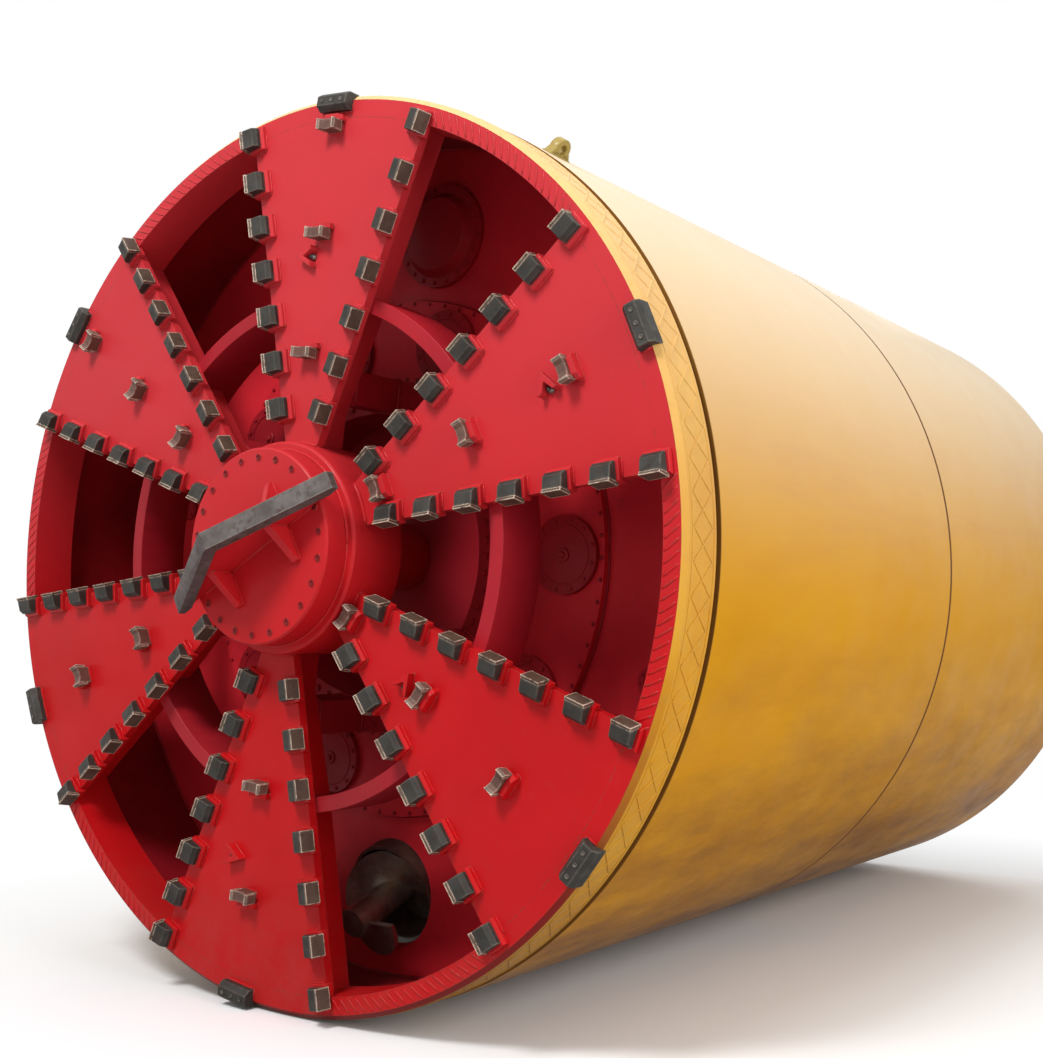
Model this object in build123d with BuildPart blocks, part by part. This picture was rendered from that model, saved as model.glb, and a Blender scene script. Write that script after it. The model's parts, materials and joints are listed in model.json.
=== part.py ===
"""Earth pressure balance tunnel boring machine: the cutterhead and its two-section shield, with what shows inside.

Millimetres. The machine's axis lies along Y, the cutterhead looks towards -Y, +Z is up and z = 0 is the floor
under the shield. "Depth" is the distance back from the plane of the cutterhead's face, "proud" the distance in
front of it, and angles round the axis are read from in front, from +X (right) towards +Z (up).
"""
from build123d import *
from math import cos, radians, sin, sqrt, tan
import os

# Shield
SHIELD_RADIUS = 3170.0
SHELL_WALL = 60.0
TAIL_WALL = 50.0
SHELL_FRONT = 385.0
SEAM_DEPTH = 4249.0
SEAM_GROOVE = 10.0
SEAM_FLANGE_PLATE = 60.0
TAIL_DEPTH = 8520.0
SHELL_INNER = SHIELD_RADIUS - SHELL_WALL
TAIL_INNER = SHIELD_RADIUS - TAIL_WALL

# Cutterhead rim
BAND_STEP = 8.0
RIM_CHAMFER = 33.0
BAND_RADIUS = SHIELD_RADIUS - BAND_STEP
FACE_RADIUS = BAND_RADIUS - RIM_CHAMFER
RIM_INNER = SHIELD_RADIUS - 160.0
RIM_GAP = 40.0
RIM_BACK = SHELL_FRONT - RIM_GAP

# Hub
HUB_RADIUS = 0.232 * SHIELD_RADIUS
HUB_PROUD = 125.0
COVER_RADIUS = HUB_RADIUS - 62.0
COVER_PROUD = 313.0
COVER_CHAMFER = 14.0
HUB_CHAMFER = 16.0
COLUMN_RADIUS = 260.0

# Panels, with the box spokes behind them
PANEL_COUNT = 6
PANEL_FIRST_ANGLE = 22.0
PANEL_HALF_ANGLE = 17.2
PANEL_EDGE_INSET = 66.0
PANEL_PLATE = 70.0
SPOKE_INSET = 130.0
SPOKE_LEAST = 60.0
SPOKE_NECK = 240.0
MIDDLE_RING_RADIUS = 0.574 * SHIELD_RADIUS
MIDDLE_RING_INNER = MIDDLE_RING_RADIUS - 105.0
MIDDLE_RING_BACK = 480.0
PANEL_ANGLES = [PANEL_FIRST_ANGLE + 360 / PANEL_COUNT * i for i in range(PANEL_COUNT)]

# Centre knife
KNIFE_ANGLE = 28.0
KNIFE_HALF_WIDTH = COVER_RADIUS + 172.0
KNIFE_PROUD = 782.0
KNIFE_END_PROUD = 370.0
KNIFE_PLATE = 80.0
KNIFE_EDGE_WIDTH = 105.0
KNIFE_EDGE_FOOT = 90.0
KNIFE_EDGE_PLATE = 128.0
KNIFE_GUSSET_OFFSET = 310.0
KNIFE_GUSSET_REACH = 300.0
KNIFE_GUSSET_TOE = 30.0
KNIFE_GUSSET_HEIGHT = 185.0
KNIFE_GUSSET_PLATE = 50.0

# Edge scrapers, in rows down both edges of each panel
SCRAPER_WIDTH = 142.0
SCRAPERS_IN_ROW = 7
SCRAPER_OUTER_RADIUS = RIM_INNER
SCRAPER_INNER_RADIUS = HUB_RADIUS + 241.0
SCRAPER_PITCH = (SCRAPER_OUTER_RADIUS - SCRAPER_INNER_RADIUS) / (SCRAPERS_IN_ROW - 1)
HOLDER_WIDTH = SCRAPER_WIDTH + 36.0
# outlines, over the opening and proud of the face
HOLDER_OUTLINE = [(-120, 0), (-120, 26), (-104, 42), (20, 42), (32, 20), (32, -30), (0, -30), (0, 0)]
SCRAPER_OUTLINE = [(-98, 42), (-98, 72), (-74, 102), (6, 118), (20, 42)]
BLADE_OUTLINE = [(6, 118), (28, 130), (50, 24), (32, 20), (20, 42)]

# Pilot bits on the panels' centre lines: their radii on each panel, as shares of the face's radius
PILOT_SHARES = [
    (0.300, 0.556, 0.820),
    (0.435, 0.701, 0.941),
    (0.452, 0.671, 0.908),
    (0.528, 0.780),
    (0.532, 0.776),
    (0.252, 0.511, 0.770),
]
PILOT_WIDTH = 72.0
PILOT_FOOT = 40.0
# outlines, round the axis and proud of the face
PILOT_OUTLINE = [(-62, 0), (-62, 118), (-30, 98), (30, 98), (62, 118), (62, 0)]
TIP_OUTLINE = [(62, 28), (62, 118), (72, 128), (86, 108), (78, 28)]
FOOT_OUTLINE = [(-86, 0), (-86, 40), (-56, 72), (56, 72), (86, 40), (86, 0)]

# Guards over the foam nozzles: the share of the face's radius, and the angle; outline on the face
NOZZLE_GUARDS = [(0.652, 85.1), (0.768, 21.9), (0.460, 320.7), (0.701, 257.5)]
GUARD_OUTLINE = [(84, 0), (-56, 76), (-56, 44), (12, 0), (-56, -44), (-56, -76)]
GUARD_PROUD = 66.0

# Gauge cutters on the rim; outline out from the shield's radius and proud of the face
GAUGE_WIDTH = 280.0
GAUGE_OUTLINE = [(-122, 0), (-122, 46), (-88, 84), (-20, 78), (5, 40), (5, -50), (-8, -50), (-8, -33), (-41, 0)]

# Drive drum, turning in the main bearing
RUNNING_FIT = 0.05
DRUM_RADIUS = 0.4132 * SHIELD_RADIUS
DRUM_INNER = DRUM_RADIUS - 260.0
DRUM_GAP = 12.0
BORE_RADIUS = DRUM_RADIUS + DRUM_GAP
LEG_RADIUS = (DRUM_RADIUS + DRUM_INNER) / 2
LEG_LENGTH = DRUM_RADIUS - DRUM_INNER - 20.0
LEG_WIDTH = 250.0

# Bulkhead, bearing ring and main drive
BULKHEAD_DEPTH = 1095.0
BULKHEAD_PLATE = 70.0
DRUM_FRONT = BULKHEAD_DEPTH - 295.0
DRUM_WEB = BULKHEAD_DEPTH + 105.0
DRUM_BACK = DRUM_WEB + 130.0
BEARING_RING_OUTER = 0.612 * SHIELD_RADIUS
BEARING_RING_PROUD = 60.0
PINION_COUNT = 10
PINION_FIRST_ANGLE = 358.0
PINION_CIRCLE_RADIUS = (BEARING_RING_OUTER + BORE_RADIUS) / 2
PINION_COVER_RADIUS = (BEARING_RING_OUTER - BORE_RADIUS) / 2 - 39.0
PINION_COVER_PROUD = 45.0
HOUSING_RADIUS = BEARING_RING_OUTER - 40.0
HOUSING_BACK = DRUM_BACK + 70.0
HOUSING_COVER = 70.0
REDUCER_RADIUS = PINION_COVER_RADIUS - 8.0
REDUCER_LENGTH = 480.0
MOTOR_RADIUS = REDUCER_RADIUS - 57.0
MOTOR_LENGTH = 640.0
PINION_ANGLES = [PINION_FIRST_ANGLE + 360 / PINION_COUNT * i for i in range(PINION_COUNT)]

# Mixing bars: three behind the spokes, three on the bulkhead (radius and angle)
MIXING_BAR_RADIUS = 80.0
MIXING_BAR_REACH = 320.0
MIXING_CIRCLE_RADIUS = 0.75 * SHIELD_RADIUS
MIXING_ANGLES = (22.0, 142.0, 262.0)
FIXED_BARS = [(0.68 * SHIELD_RADIUS, 190.0), (0.835 * SHIELD_RADIUS, 310.0), (0.68 * SHIELD_RADIUS, 45.0)]

# Man lock behind the bulkhead, with its hatch in front and its door behind
LOCK_ANGLE = 79.0
LOCK_CLEARANCE = 40.0
LOCK_RADIUS = (SHELL_INNER - HOUSING_RADIUS - 130.0) / 2
LOCK_CIRCLE_RADIUS = SHELL_INNER - LOCK_CLEARANCE - LOCK_RADIUS
LOCK_WALL = 25.0
LOCK_END = 40.0
LOCK_FRONT = BULKHEAD_DEPTH + BULKHEAD_PLATE
LOCK_BACK = LOCK_FRONT + 1185.0
HATCH_CIRCLE_RADIUS = LOCK_CIRCLE_RADIUS - 90.0
HATCH_OPENING = LOCK_RADIUS - 210.0
HATCH_RADIUS = HATCH_OPENING + 60.0
HATCH_PLATE = 45.0
HATCH_DISH = 70.0
DOOR_OPENING = LOCK_RADIUS - 240.0
DOOR_RADIUS = DOOR_OPENING + 40.0
DOOR_PLATE = 45.0
DOOR_GAP = 6.0
HINGE_OFFSET = DOOR_RADIUS + 80.0
HINGE_DEPTH = 60.0
HINGE_EYE_RADIUS = 42.0
HINGE_PIN_RADIUS = 22.0
HINGE_TUBE_LENGTH = 220.0
HINGE_EYE_LENGTH = 60.0

# Thrust jacks between two girder rings
JACK_COUNT = 16
JACK_BARREL_RADIUS = 160.0
JACK_ROD_RADIUS = 105.0
JACK_CIRCLE_RADIUS = TAIL_INNER - 80.0 - JACK_BARREL_RADIUS
JACK_ANGLES = [360 / JACK_COUNT * (i + 0.5) for i in range(JACK_COUNT)]
QUADRANTS = {"top": 45.0, "left": 135.0, "bottom": 225.0, "right": 315.0}
GIRDER_PLATE = 60.0
GIRDER_AHEAD = 1039.0
GIRDER_BEHIND = 491.0
BARREL_REACH = 710.0
ROD_REACH = 170.0
GIRDER_FRONT = SEAM_DEPTH - GIRDER_AHEAD
GIRDER_REAR = SEAM_DEPTH + GIRDER_BEHIND
BARREL_END = GIRDER_REAR + BARREL_REACH
BORE_START = GIRDER_FRONT + GIRDER_PLATE + 150.0
ROD_START = BORE_START + 20.0
ROD_END = BARREL_END + ROD_REACH
SEAM_FLANGE_INNER = JACK_CIRCLE_RADIUS + JACK_BARREL_RADIUS + 10.0
SHOE_PLATE = 150.0
SHOE_OUTER_RADIUS = TAIL_INNER - 90.0
SHOE_INNER_RADIUS = SHOE_OUTER_RADIUS - 320.0
SHOE_HALF_ANGLE = 10.4
GIRDER_INNER_RADIUS = SHOE_INNER_RADIUS - 150.0

# Screw conveyor: it climbs from the bottom of the bulkhead, clear under the main drive
SCREW_SLOPE = 20.0
SLOPE = radians(SCREW_SLOPE)
CASING_RADIUS = 0.1183 * SHIELD_RADIUS
CASING_WALL = 25.0
CASING_CLEARANCE = 74.0
CASING_HALF_HEIGHT = CASING_RADIUS / cos(SLOPE)
DRIVE_REACH = HOUSING_BACK + HOUSING_COVER - BULKHEAD_DEPTH
SCREW_DROP = HOUSING_RADIUS + CASING_CLEARANCE + CASING_HALF_HEIGHT + DRIVE_REACH * tan(SLOPE)
SCREW_DRIVE_RADIUS = CASING_RADIUS + 25.0
SCREW_DRIVE_LENGTH = 420.0
CASING_LENGTH = (TAIL_DEPTH - 264.0 - BULKHEAD_DEPTH) / cos(SLOPE) - SCREW_DRIVE_LENGTH - 200.0
CASING_FLANGE_RADIUS = CASING_RADIUS + 75.0
CASING_FLANGE_PLATE = 60.0
CASING_FLANGES = (0.32 * CASING_LENGTH, 0.66 * CASING_LENGTH)
FLIGHT_RADIUS = CASING_RADIUS - CASING_WALL - 15.0
FLIGHT_PITCH = 520.0
FLIGHT_TURNS = 1.5
FLIGHT_PLATE = 40.0
SHAFT_RADIUS = 110.0
SHAFT_SEAT = 160.0
NOSE_REACH = 400.0
NOSE_LENGTH = 60.0
CHUTE_ALONG = CASING_LENGTH - 500.0
CHUTE_SIZE = 560.0
CHUTE_DROP = 900.0
CHUTE_WALL = 30.0
GATE_PLAY = 5.0
GATE_PLATE = 40.0
GATE_LIP = 30.0
# a guide's section, out from the chute's side and up from its lower edge
GUIDE_OUTLINE = [(0, 40), (60, 40), (60, -90), (0, -90), (0, -45.5), (35, -45.5), (35, 0), (0, 0)]

# Segment erector
ERECTOR_DEPTH = BARREL_END + 510.0
ERECTOR_WIDTH = 220.0
ERECTOR_OUTER = SHOE_INNER_RADIUS - 410.0
ERECTOR_INNER = ERECTOR_OUTER - 220.0
ROLLER_RADIUS = 95.0
ROLLER_GAP = 0.3
ROLLER_ANGLES = (30.0, 90.0, 150.0, 210.0, 330.0)
BEAM_RADIUS = ERECTOR_OUTER + 2 * ROLLER_RADIUS + 90.0
BEAM_WIDTH = 160.0
BEAM_HEIGHT = 150.0
BRACKET_HEIGHT = 330.0
BRACKET_DROP = 100.0
BRACKET_PLATE = 70.0
POST_OFFSET = 560.0
POST_WIDTH = 120.0
POST_DEPTH = 160.0
POST_INNER = ERECTOR_INNER - 400.0
POST_OUTER = SHOE_INNER_RADIUS - 150.0
HEAD_INNER = POST_INNER + 220.0
HEAD_HEIGHT = 160.0
HEAD_PLAY = 0.5
GRIP_WIDTH = 400.0
GRIP_DEPTH = 200.0

# Tail seal and lifting lugs
SEAL_LENGTH = 130.0
SEAL_HEIGHT = 62.0
SEAL_DEPTHS = [TAIL_DEPTH - 200.0 - 420.0 * i for i in range(3)]
LUG_ANGLES = (55.0, 125.0)
LUG_DEPTH = 540.0
LUG_LENGTH = 220.0
LUG_HEIGHT = 125.0
LUG_PLATE = 70.0
LUG_BORE_RADIUS = 34.0

# Where the machine stands: the middle of its length over the origin and the shield's skin on the floor
AXIS_Z = SHIELD_RADIUS
FACE_Y = (KNIFE_PROUD - TAIL_DEPTH) / 2
MACHINE_AXIS = Axis((0, FACE_Y, AXIS_Z), (0, 1, 0))
# half section through the axis: x is depth, y is radius
SECTION = Plane(origin=(0, FACE_Y, AXIS_Z), x_dir=(0, 1, 0), z_dir=(1, 0, 0))

os.makedirs("parts", exist_ok=True)


def across(depth):
    """The plane across the axis at a depth, seen from in front; extruding by a minus amount goes back."""
    return Plane(origin=(0, FACE_Y + depth, AXIS_Z), x_dir=(1, 0, 0), z_dir=(0, -1, 0))


def turned_to(angle, depth=0.0):
    """The plane across the axis at a depth with its x axis turned out along a radius."""
    a = radians(angle)
    return Plane(origin=(0, FACE_Y + depth, AXIS_Z), x_dir=(cos(a), 0, sin(a)), z_dir=(0, -1, 0))


def at(radius, angle):
    """A place in a plane across the axis."""
    return radius * cos(radians(angle)), radius * sin(radians(angle))


def radial_cut(angle):
    """The plane through the axis and a radius: x is radius and y is proud of the face."""
    a = radians(angle)
    return Plane(origin=(0, FACE_Y, AXIS_Z), x_dir=(cos(a), 0, sin(a)), z_dir=(sin(a), 0, -cos(a)))


def tangent_cut(angle, radius):
    """The plane square to a radius: x runs round the axis and y is proud of the face."""
    a = radians(angle)
    return Plane(
        origin=(radius * cos(a), FACE_Y, AXIS_Z + radius * sin(a)),
        x_dir=(-sin(a), 0, cos(a)),
        z_dir=(cos(a), 0, sin(a)),
    )


def edge_point(radius, inset=0.0):
    """Where a panel's edge meets a circle about the axis, with the panel's centre line as x."""
    rise = tan(radians(PANEL_HALF_ANGLE))
    drop = (PANEL_EDGE_INSET + inset) / cos(radians(PANEL_HALF_ANGLE))
    k = 1 + rise * rise
    x = (rise * drop + sqrt(k * radius * radius - drop * drop)) / k
    return x, rise * x - drop


def edge_cut(angle, side, radius):
    """The plane square to a panel's edge: x runs out over the opening and y is proud of the face."""
    x, y = edge_point(radius)
    a = radians(angle)
    e = radians(angle + side * PANEL_HALF_ANGLE)
    return Plane(
        origin=(x * cos(a) - side * y * sin(a), FACE_Y, AXIS_Z + x * sin(a) + side * y * cos(a)),
        x_dir=(-side * sin(e), 0, side * cos(e)),
        z_dir=(side * cos(e), 0, side * sin(e)),
    )


def screw_at(along):
    """The plane square to the screw conveyor's axis, at a distance up it from the front of the bulkhead."""
    return Plane(
        origin=(
            0,
            FACE_Y + BULKHEAD_DEPTH + along * cos(SLOPE),
            AXIS_Z - SCREW_DROP + along * sin(SLOPE),
        ),
        x_dir=(1, 0, 0),
        z_dir=(0, cos(SLOPE), sin(SLOPE)),
    )


def keep(part, name):
    """Labels a finished piece and writes it to its own file."""
    part.label = name
    export_step(part, f"parts/{name}.step")


# Rim ring: a heavy rolled ring that carries the outer ends of the panels
with BuildPart() as rim_ring:
    with BuildSketch(across(0)):
        Circle(FACE_RADIUS)
        Circle(RIM_INNER, mode=Mode.SUBTRACT)
    extrude(amount=-RIM_BACK)
keep(rim_ring.part, "rim_ring")

# Wear band round the rim ring, its front edge chamfered to meet the face
with BuildPart() as wear_band:
    with BuildSketch(SECTION):
        Polygon(
            (0, FACE_RADIUS),
            (RIM_BACK, FACE_RADIUS),
            (RIM_BACK, BAND_RADIUS),
            (RIM_CHAMFER, BAND_RADIUS),
            align=None,
        )
    revolve(axis=MACHINE_AXIS)
keep(wear_band.part, "wear_band")

# Middle ring behind the face plates
with BuildPart() as middle_ring:
    with BuildSketch(across(PANEL_PLATE)):
        Circle(MIDDLE_RING_RADIUS)
        Circle(MIDDLE_RING_INNER, mode=Mode.SUBTRACT)
    extrude(amount=-(MIDDLE_RING_BACK - PANEL_PLATE))
keep(middle_ring.part, "middle_ring")

# One panel along +X: a thick wedge plate, with a narrower box spoke behind it in two lengths, either side of
# the middle ring that passes through it
with BuildPart() as panel:
    with BuildSketch():
        with BuildLine():
            inner, outer = edge_point(HUB_RADIUS), edge_point(RIM_INNER)
            Line(inner, outer)
            ThreePointArc(outer, (RIM_INNER, 0), (outer[0], -outer[1]))
            Line((outer[0], -outer[1]), (inner[0], -inner[1]))
            ThreePointArc((inner[0], -inner[1]), (HUB_RADIUS, 0), inner)
        make_face()
    extrude(amount=-PANEL_PLATE)
    with BuildSketch(Plane.XY.offset(-PANEL_PLATE)):
        with BuildLine():
            outer = edge_point(RIM_INNER, SPOKE_INSET)
            inner = edge_point(MIDDLE_RING_RADIUS, SPOKE_INSET)
            Line(inner, outer)
            ThreePointArc(outer, (RIM_INNER, 0), (outer[0], -outer[1]))
            Line((outer[0], -outer[1]), (inner[0], -inner[1]))
            ThreePointArc((inner[0], -inner[1]), (MIDDLE_RING_RADIUS, 0), inner)
        make_face()
        with BuildLine():
            outer = edge_point(MIDDLE_RING_INNER, SPOKE_INSET)
            neck = (HUB_RADIUS + SPOKE_NECK, SPOKE_LEAST)
            root = (sqrt(HUB_RADIUS * HUB_RADIUS - SPOKE_LEAST * SPOKE_LEAST), SPOKE_LEAST)
            Polyline(root, neck, outer)
            ThreePointArc(outer, (MIDDLE_RING_INNER, 0), (outer[0], -outer[1]))
            Polyline((outer[0], -outer[1]), (neck[0], -neck[1]), (root[0], -root[1]))
            ThreePointArc((root[0], -root[1]), (HUB_RADIUS, 0), root)
        make_face()
    extrude(amount=-(RIM_BACK - PANEL_PLATE))

with BuildPart() as face_panels:
    with Locations(*[turned_to(angle).location for angle in PANEL_ANGLES]):
        add(panel.part)
keep(face_panels.part, "face_panels")

# Hub with the centre column that runs back to the drive
with BuildPart() as hub:
    with BuildSketch(across(-HUB_PROUD)):
        Circle(HUB_RADIUS)
    extrude(amount=-(HUB_PROUD + RIM_BACK))
    chamfer(hub.edges().group_by(Axis.Y)[0], HUB_CHAMFER)
    with BuildSketch(across(RIM_BACK)):
        Circle(COLUMN_RADIUS)
    extrude(amount=-(DRUM_WEB - RIM_BACK))
keep(hub.part, "hub")

# Round cover bolted on the front of the hub
with BuildPart() as hub_cover:
    with BuildSketch(across(-COVER_PROUD)):
        Circle(COVER_RADIUS)
    extrude(amount=-(COVER_PROUD - HUB_PROUD))
    chamfer(hub_cover.edges().group_by(Axis.Y)[0], COVER_CHAMFER)
keep(hub_cover.part, "hub_cover")

# Centre knife: a pointed plate across the cover, held by four gussets
KNIFE_OUTLINE = [
    (-KNIFE_HALF_WIDTH, COVER_PROUD),
    (-KNIFE_HALF_WIDTH, KNIFE_END_PROUD),
    (0, KNIFE_PROUD),
    (KNIFE_HALF_WIDTH, KNIFE_END_PROUD),
    (KNIFE_HALF_WIDTH, COVER_PROUD),
]
# the hard bars run down both sloping edges to the ends
KNIFE_BARS = KNIFE_OUTLINE + [
    (KNIFE_HALF_WIDTH - KNIFE_EDGE_FOOT, COVER_PROUD),
    (0, KNIFE_PROUD - KNIFE_EDGE_WIDTH),
    (KNIFE_EDGE_FOOT - KNIFE_HALF_WIDTH, COVER_PROUD),
]
with BuildPart() as centre_knife:
    with BuildSketch(radial_cut(KNIFE_ANGLE)):
        Polygon(*KNIFE_OUTLINE, align=None)
        Polygon(*KNIFE_BARS, align=None, mode=Mode.SUBTRACT)
    extrude(amount=KNIFE_PLATE / 2, both=True)
    for end in (-1, 1):
        for turn in (0, 180):
            with BuildSketch(tangent_cut(KNIFE_ANGLE + turn, end * KNIFE_GUSSET_OFFSET)):
                Polygon(
                    (KNIFE_PLATE / 2, COVER_PROUD),
                    (KNIFE_GUSSET_REACH, COVER_PROUD),
                    (KNIFE_GUSSET_REACH, COVER_PROUD + KNIFE_GUSSET_TOE),
                    (KNIFE_PLATE / 2, COVER_PROUD + KNIFE_GUSSET_HEIGHT),
                    align=None,
                )
            extrude(amount=KNIFE_GUSSET_PLATE / 2, both=True)
keep(centre_knife.part, "centre_knife")

with BuildPart() as knife_edges:
    with BuildSketch(radial_cut(KNIFE_ANGLE)):
        Polygon(*KNIFE_BARS, align=None)
    extrude(amount=KNIFE_EDGE_PLATE / 2, both=True)
keep(knife_edges.part, "knife_edges")

# Where the cutters sit
SCRAPER_RADII = [SCRAPER_OUTER_RADIUS - SCRAPER_PITCH * i for i in range(SCRAPERS_IN_ROW)]
SCRAPER_SEATS = [
    edge_cut(angle, side, radius).location
    for angle in PANEL_ANGLES
    for side in (-1, 1)
    for radius in SCRAPER_RADII
]
PILOT_SEATS = [
    (angle, share * FACE_RADIUS) for angle, shares in zip(PANEL_ANGLES, PILOT_SHARES) for share in shares
]


def repeated(outlines, width, seats):
    """A block of each outline at every seat."""
    with BuildPart() as block:
        with BuildSketch():
            for outline in outlines:
                Polygon(*outline, align=None)
        extrude(amount=width / 2, both=True)
    with BuildPart() as blocks:
        with Locations(*seats):
            add(block.part)
    return blocks.part


# The outermost scrapers are notched round the rim ring
with BuildPart() as rim_space:
    with BuildSketch(across(0)):
        Circle(SHIELD_RADIUS)
        Circle(RIM_INNER, mode=Mode.SUBTRACT)
    extrude(amount=-RIM_BACK)

# Edge scrapers: a dark block with a pale blade on the side of the opening
with BuildPart() as edge_scrapers:
    add(repeated([SCRAPER_OUTLINE], SCRAPER_WIDTH, SCRAPER_SEATS))
keep(edge_scrapers.part, "edge_scrapers")

with BuildPart() as scraper_blades:
    add(repeated([BLADE_OUTLINE], SCRAPER_WIDTH, SCRAPER_SEATS))
    add(rim_space.part, mode=Mode.SUBTRACT)
keep(scraper_blades.part, "scraper_blades")

# Red holders under the scrapers and behind the pilot bits, and the guards over the foam nozzles
FOOT_SEATS = [
    tangent_cut(angle, radius + (PILOT_WIDTH + PILOT_FOOT) / 2).location for angle, radius in PILOT_SEATS
]
with BuildPart() as cutter_holders:
    add(repeated([HOLDER_OUTLINE], HOLDER_WIDTH, SCRAPER_SEATS))
    add(rim_space.part, mode=Mode.SUBTRACT)
    add(repeated([FOOT_OUTLINE], PILOT_FOOT, FOOT_SEATS))
    for share, angle in NOZZLE_GUARDS:
        with BuildSketch(turned_to(angle)):
            with Locations(Location((share * FACE_RADIUS, 0, 0), (0, 0, 90))):
                Polygon(*GUARD_OUTLINE, align=None)
        extrude(amount=GUARD_PROUD)
keep(cutter_holders.part, "cutter_holders")

# Pilot bits and their pale tips
PILOT_PLACES = [tangent_cut(angle, radius).location for angle, radius in PILOT_SEATS]
with BuildPart() as pilot_bits:
    add(repeated([PILOT_OUTLINE], PILOT_WIDTH, PILOT_PLACES))
keep(pilot_bits.part, "pilot_bits")

with BuildPart() as pilot_tips:
    add(repeated([TIP_OUTLINE, [(-x, y) for x, y in TIP_OUTLINE]], PILOT_WIDTH, PILOT_PLACES))
keep(pilot_tips.part, "pilot_tips")

# Gauge cutters at the rim, one at the end of each panel, shaped to the rim's face and band
with BuildPart() as gauge_cutters:
    for angle in PANEL_ANGLES:
        with BuildSketch(radial_cut(angle)):
            Polygon(*[(SHIELD_RADIUS + x, y) for x, y in GAUGE_OUTLINE], align=None)
        extrude(amount=GAUGE_WIDTH / 2, both=True)
    with BuildSketch(SECTION):
        Polygon(
            (0, RIM_INNER - SPOKE_INSET),
            (RIM_BACK, RIM_INNER - SPOKE_INSET),
            (RIM_BACK, BAND_RADIUS),
            (RIM_CHAMFER, BAND_RADIUS),
            (0, FACE_RADIUS),
            align=None,
        )
    revolve(axis=MACHINE_AXIS, mode=Mode.SUBTRACT)
keep(gauge_cutters.part, "gauge_cutters")

# Six legs from the spokes back to the drive drum, and the mixing bars that stir the chamber
with BuildPart() as support_legs:
    for angle in PANEL_ANGLES:
        with BuildSketch(turned_to(angle, RIM_BACK)):
            with Locations((LEG_RADIUS, 0)):
                Rectangle(LEG_LENGTH, LEG_WIDTH)
        extrude(amount=-(DRUM_FRONT - RIM_BACK))
    for angle in MIXING_ANGLES:
        with BuildSketch(across(RIM_BACK)):
            with Locations(at(MIXING_CIRCLE_RADIUS, angle)):
                Circle(MIXING_BAR_RADIUS)
        extrude(amount=-MIXING_BAR_REACH)
keep(support_legs.part, "support_legs")

# Drive drum: the flange that the legs stand on, and the web that closes it
with BuildPart() as drive_drum:
    with BuildSketch(SECTION):
        Polygon(
            (DRUM_WEB, 0),
            (DRUM_WEB, DRUM_INNER),
            (DRUM_FRONT, DRUM_INNER),
            (DRUM_FRONT, DRUM_RADIUS),
            (DRUM_BACK, DRUM_RADIUS),
            (DRUM_BACK, 0),
            align=None,
        )
    revolve(axis=MACHINE_AXIS)
keep(drive_drum.part, "drive_drum")

# Front and middle shield, its rear edge bevelled for the seam, with the flange that the tail bolts to
with BuildPart() as front_shield:
    with BuildSketch(SECTION):
        Polygon(
            (SHELL_FRONT, SHELL_INNER),
            (SEAM_DEPTH - SEAM_FLANGE_PLATE, SHELL_INNER),
            (SEAM_DEPTH - SEAM_FLANGE_PLATE, SEAM_FLANGE_INNER),
            (SEAM_DEPTH, SEAM_FLANGE_INNER),
            (SEAM_DEPTH, SHIELD_RADIUS - SEAM_GROOVE),
            (SEAM_DEPTH - SEAM_GROOVE, SHIELD_RADIUS),
            (SHELL_FRONT, SHIELD_RADIUS),
            align=None,
        )
    revolve(axis=MACHINE_AXIS)
keep(front_shield.part, "front_shield")

# Tail shield
with BuildPart() as tail_shield:
    with BuildSketch(SECTION):
        Polygon(
            (SEAM_DEPTH, SEAM_FLANGE_INNER),
            (SEAM_DEPTH + SEAM_FLANGE_PLATE, SEAM_FLANGE_INNER),
            (SEAM_DEPTH + SEAM_FLANGE_PLATE, TAIL_INNER),
            (TAIL_DEPTH, TAIL_INNER),
            (TAIL_DEPTH, SHIELD_RADIUS),
            (SEAM_DEPTH + SEAM_GROOVE, SHIELD_RADIUS),
            (SEAM_DEPTH, SHIELD_RADIUS - SEAM_GROOVE),
            align=None,
        )
    revolve(axis=MACHINE_AXIS)
keep(tail_shield.part, "tail_shield")

# Bulkhead across the shield, with the bearing ring and the fixed mixing bars on its front
with BuildPart() as bulkhead:
    with BuildSketch(across(BULKHEAD_DEPTH)):
        Circle(SHELL_INNER)
        Circle(BORE_RADIUS, mode=Mode.SUBTRACT)
        with Locations(at(HATCH_CIRCLE_RADIUS, LOCK_ANGLE)):
            Circle(HATCH_OPENING, mode=Mode.SUBTRACT)
    extrude(amount=-BULKHEAD_PLATE)
    with BuildSketch(across(BULKHEAD_DEPTH - BEARING_RING_PROUD)):
        Circle(BEARING_RING_OUTER)
        Circle(BORE_RADIUS, mode=Mode.SUBTRACT)
    extrude(amount=-BEARING_RING_PROUD)
    with BuildSketch(across(BULKHEAD_DEPTH)):
        for radius, angle in FIXED_BARS:
            with Locations(at(radius, angle)):
                Circle(MIXING_BAR_RADIUS)
    extrude(amount=MIXING_BAR_REACH)
    # the screw conveyor's casing passes through near the bottom
    with BuildSketch(screw_at(-CASING_RADIUS)):
        Circle(CASING_RADIUS)
    extrude(amount=2 * CASING_RADIUS, mode=Mode.SUBTRACT)
keep(bulkhead.part, "bulkhead")

# Covers over the pinions, in a ring round the drum
with BuildPart() as pinion_covers:
    with BuildSketch(across(BULKHEAD_DEPTH - BEARING_RING_PROUD)):
        for angle in PINION_ANGLES:
            with Locations(at(PINION_CIRCLE_RADIUS, angle)):
                Circle(PINION_COVER_RADIUS)
    extrude(amount=PINION_COVER_PROUD)
keep(pinion_covers.part, "pinion_covers")

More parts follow.
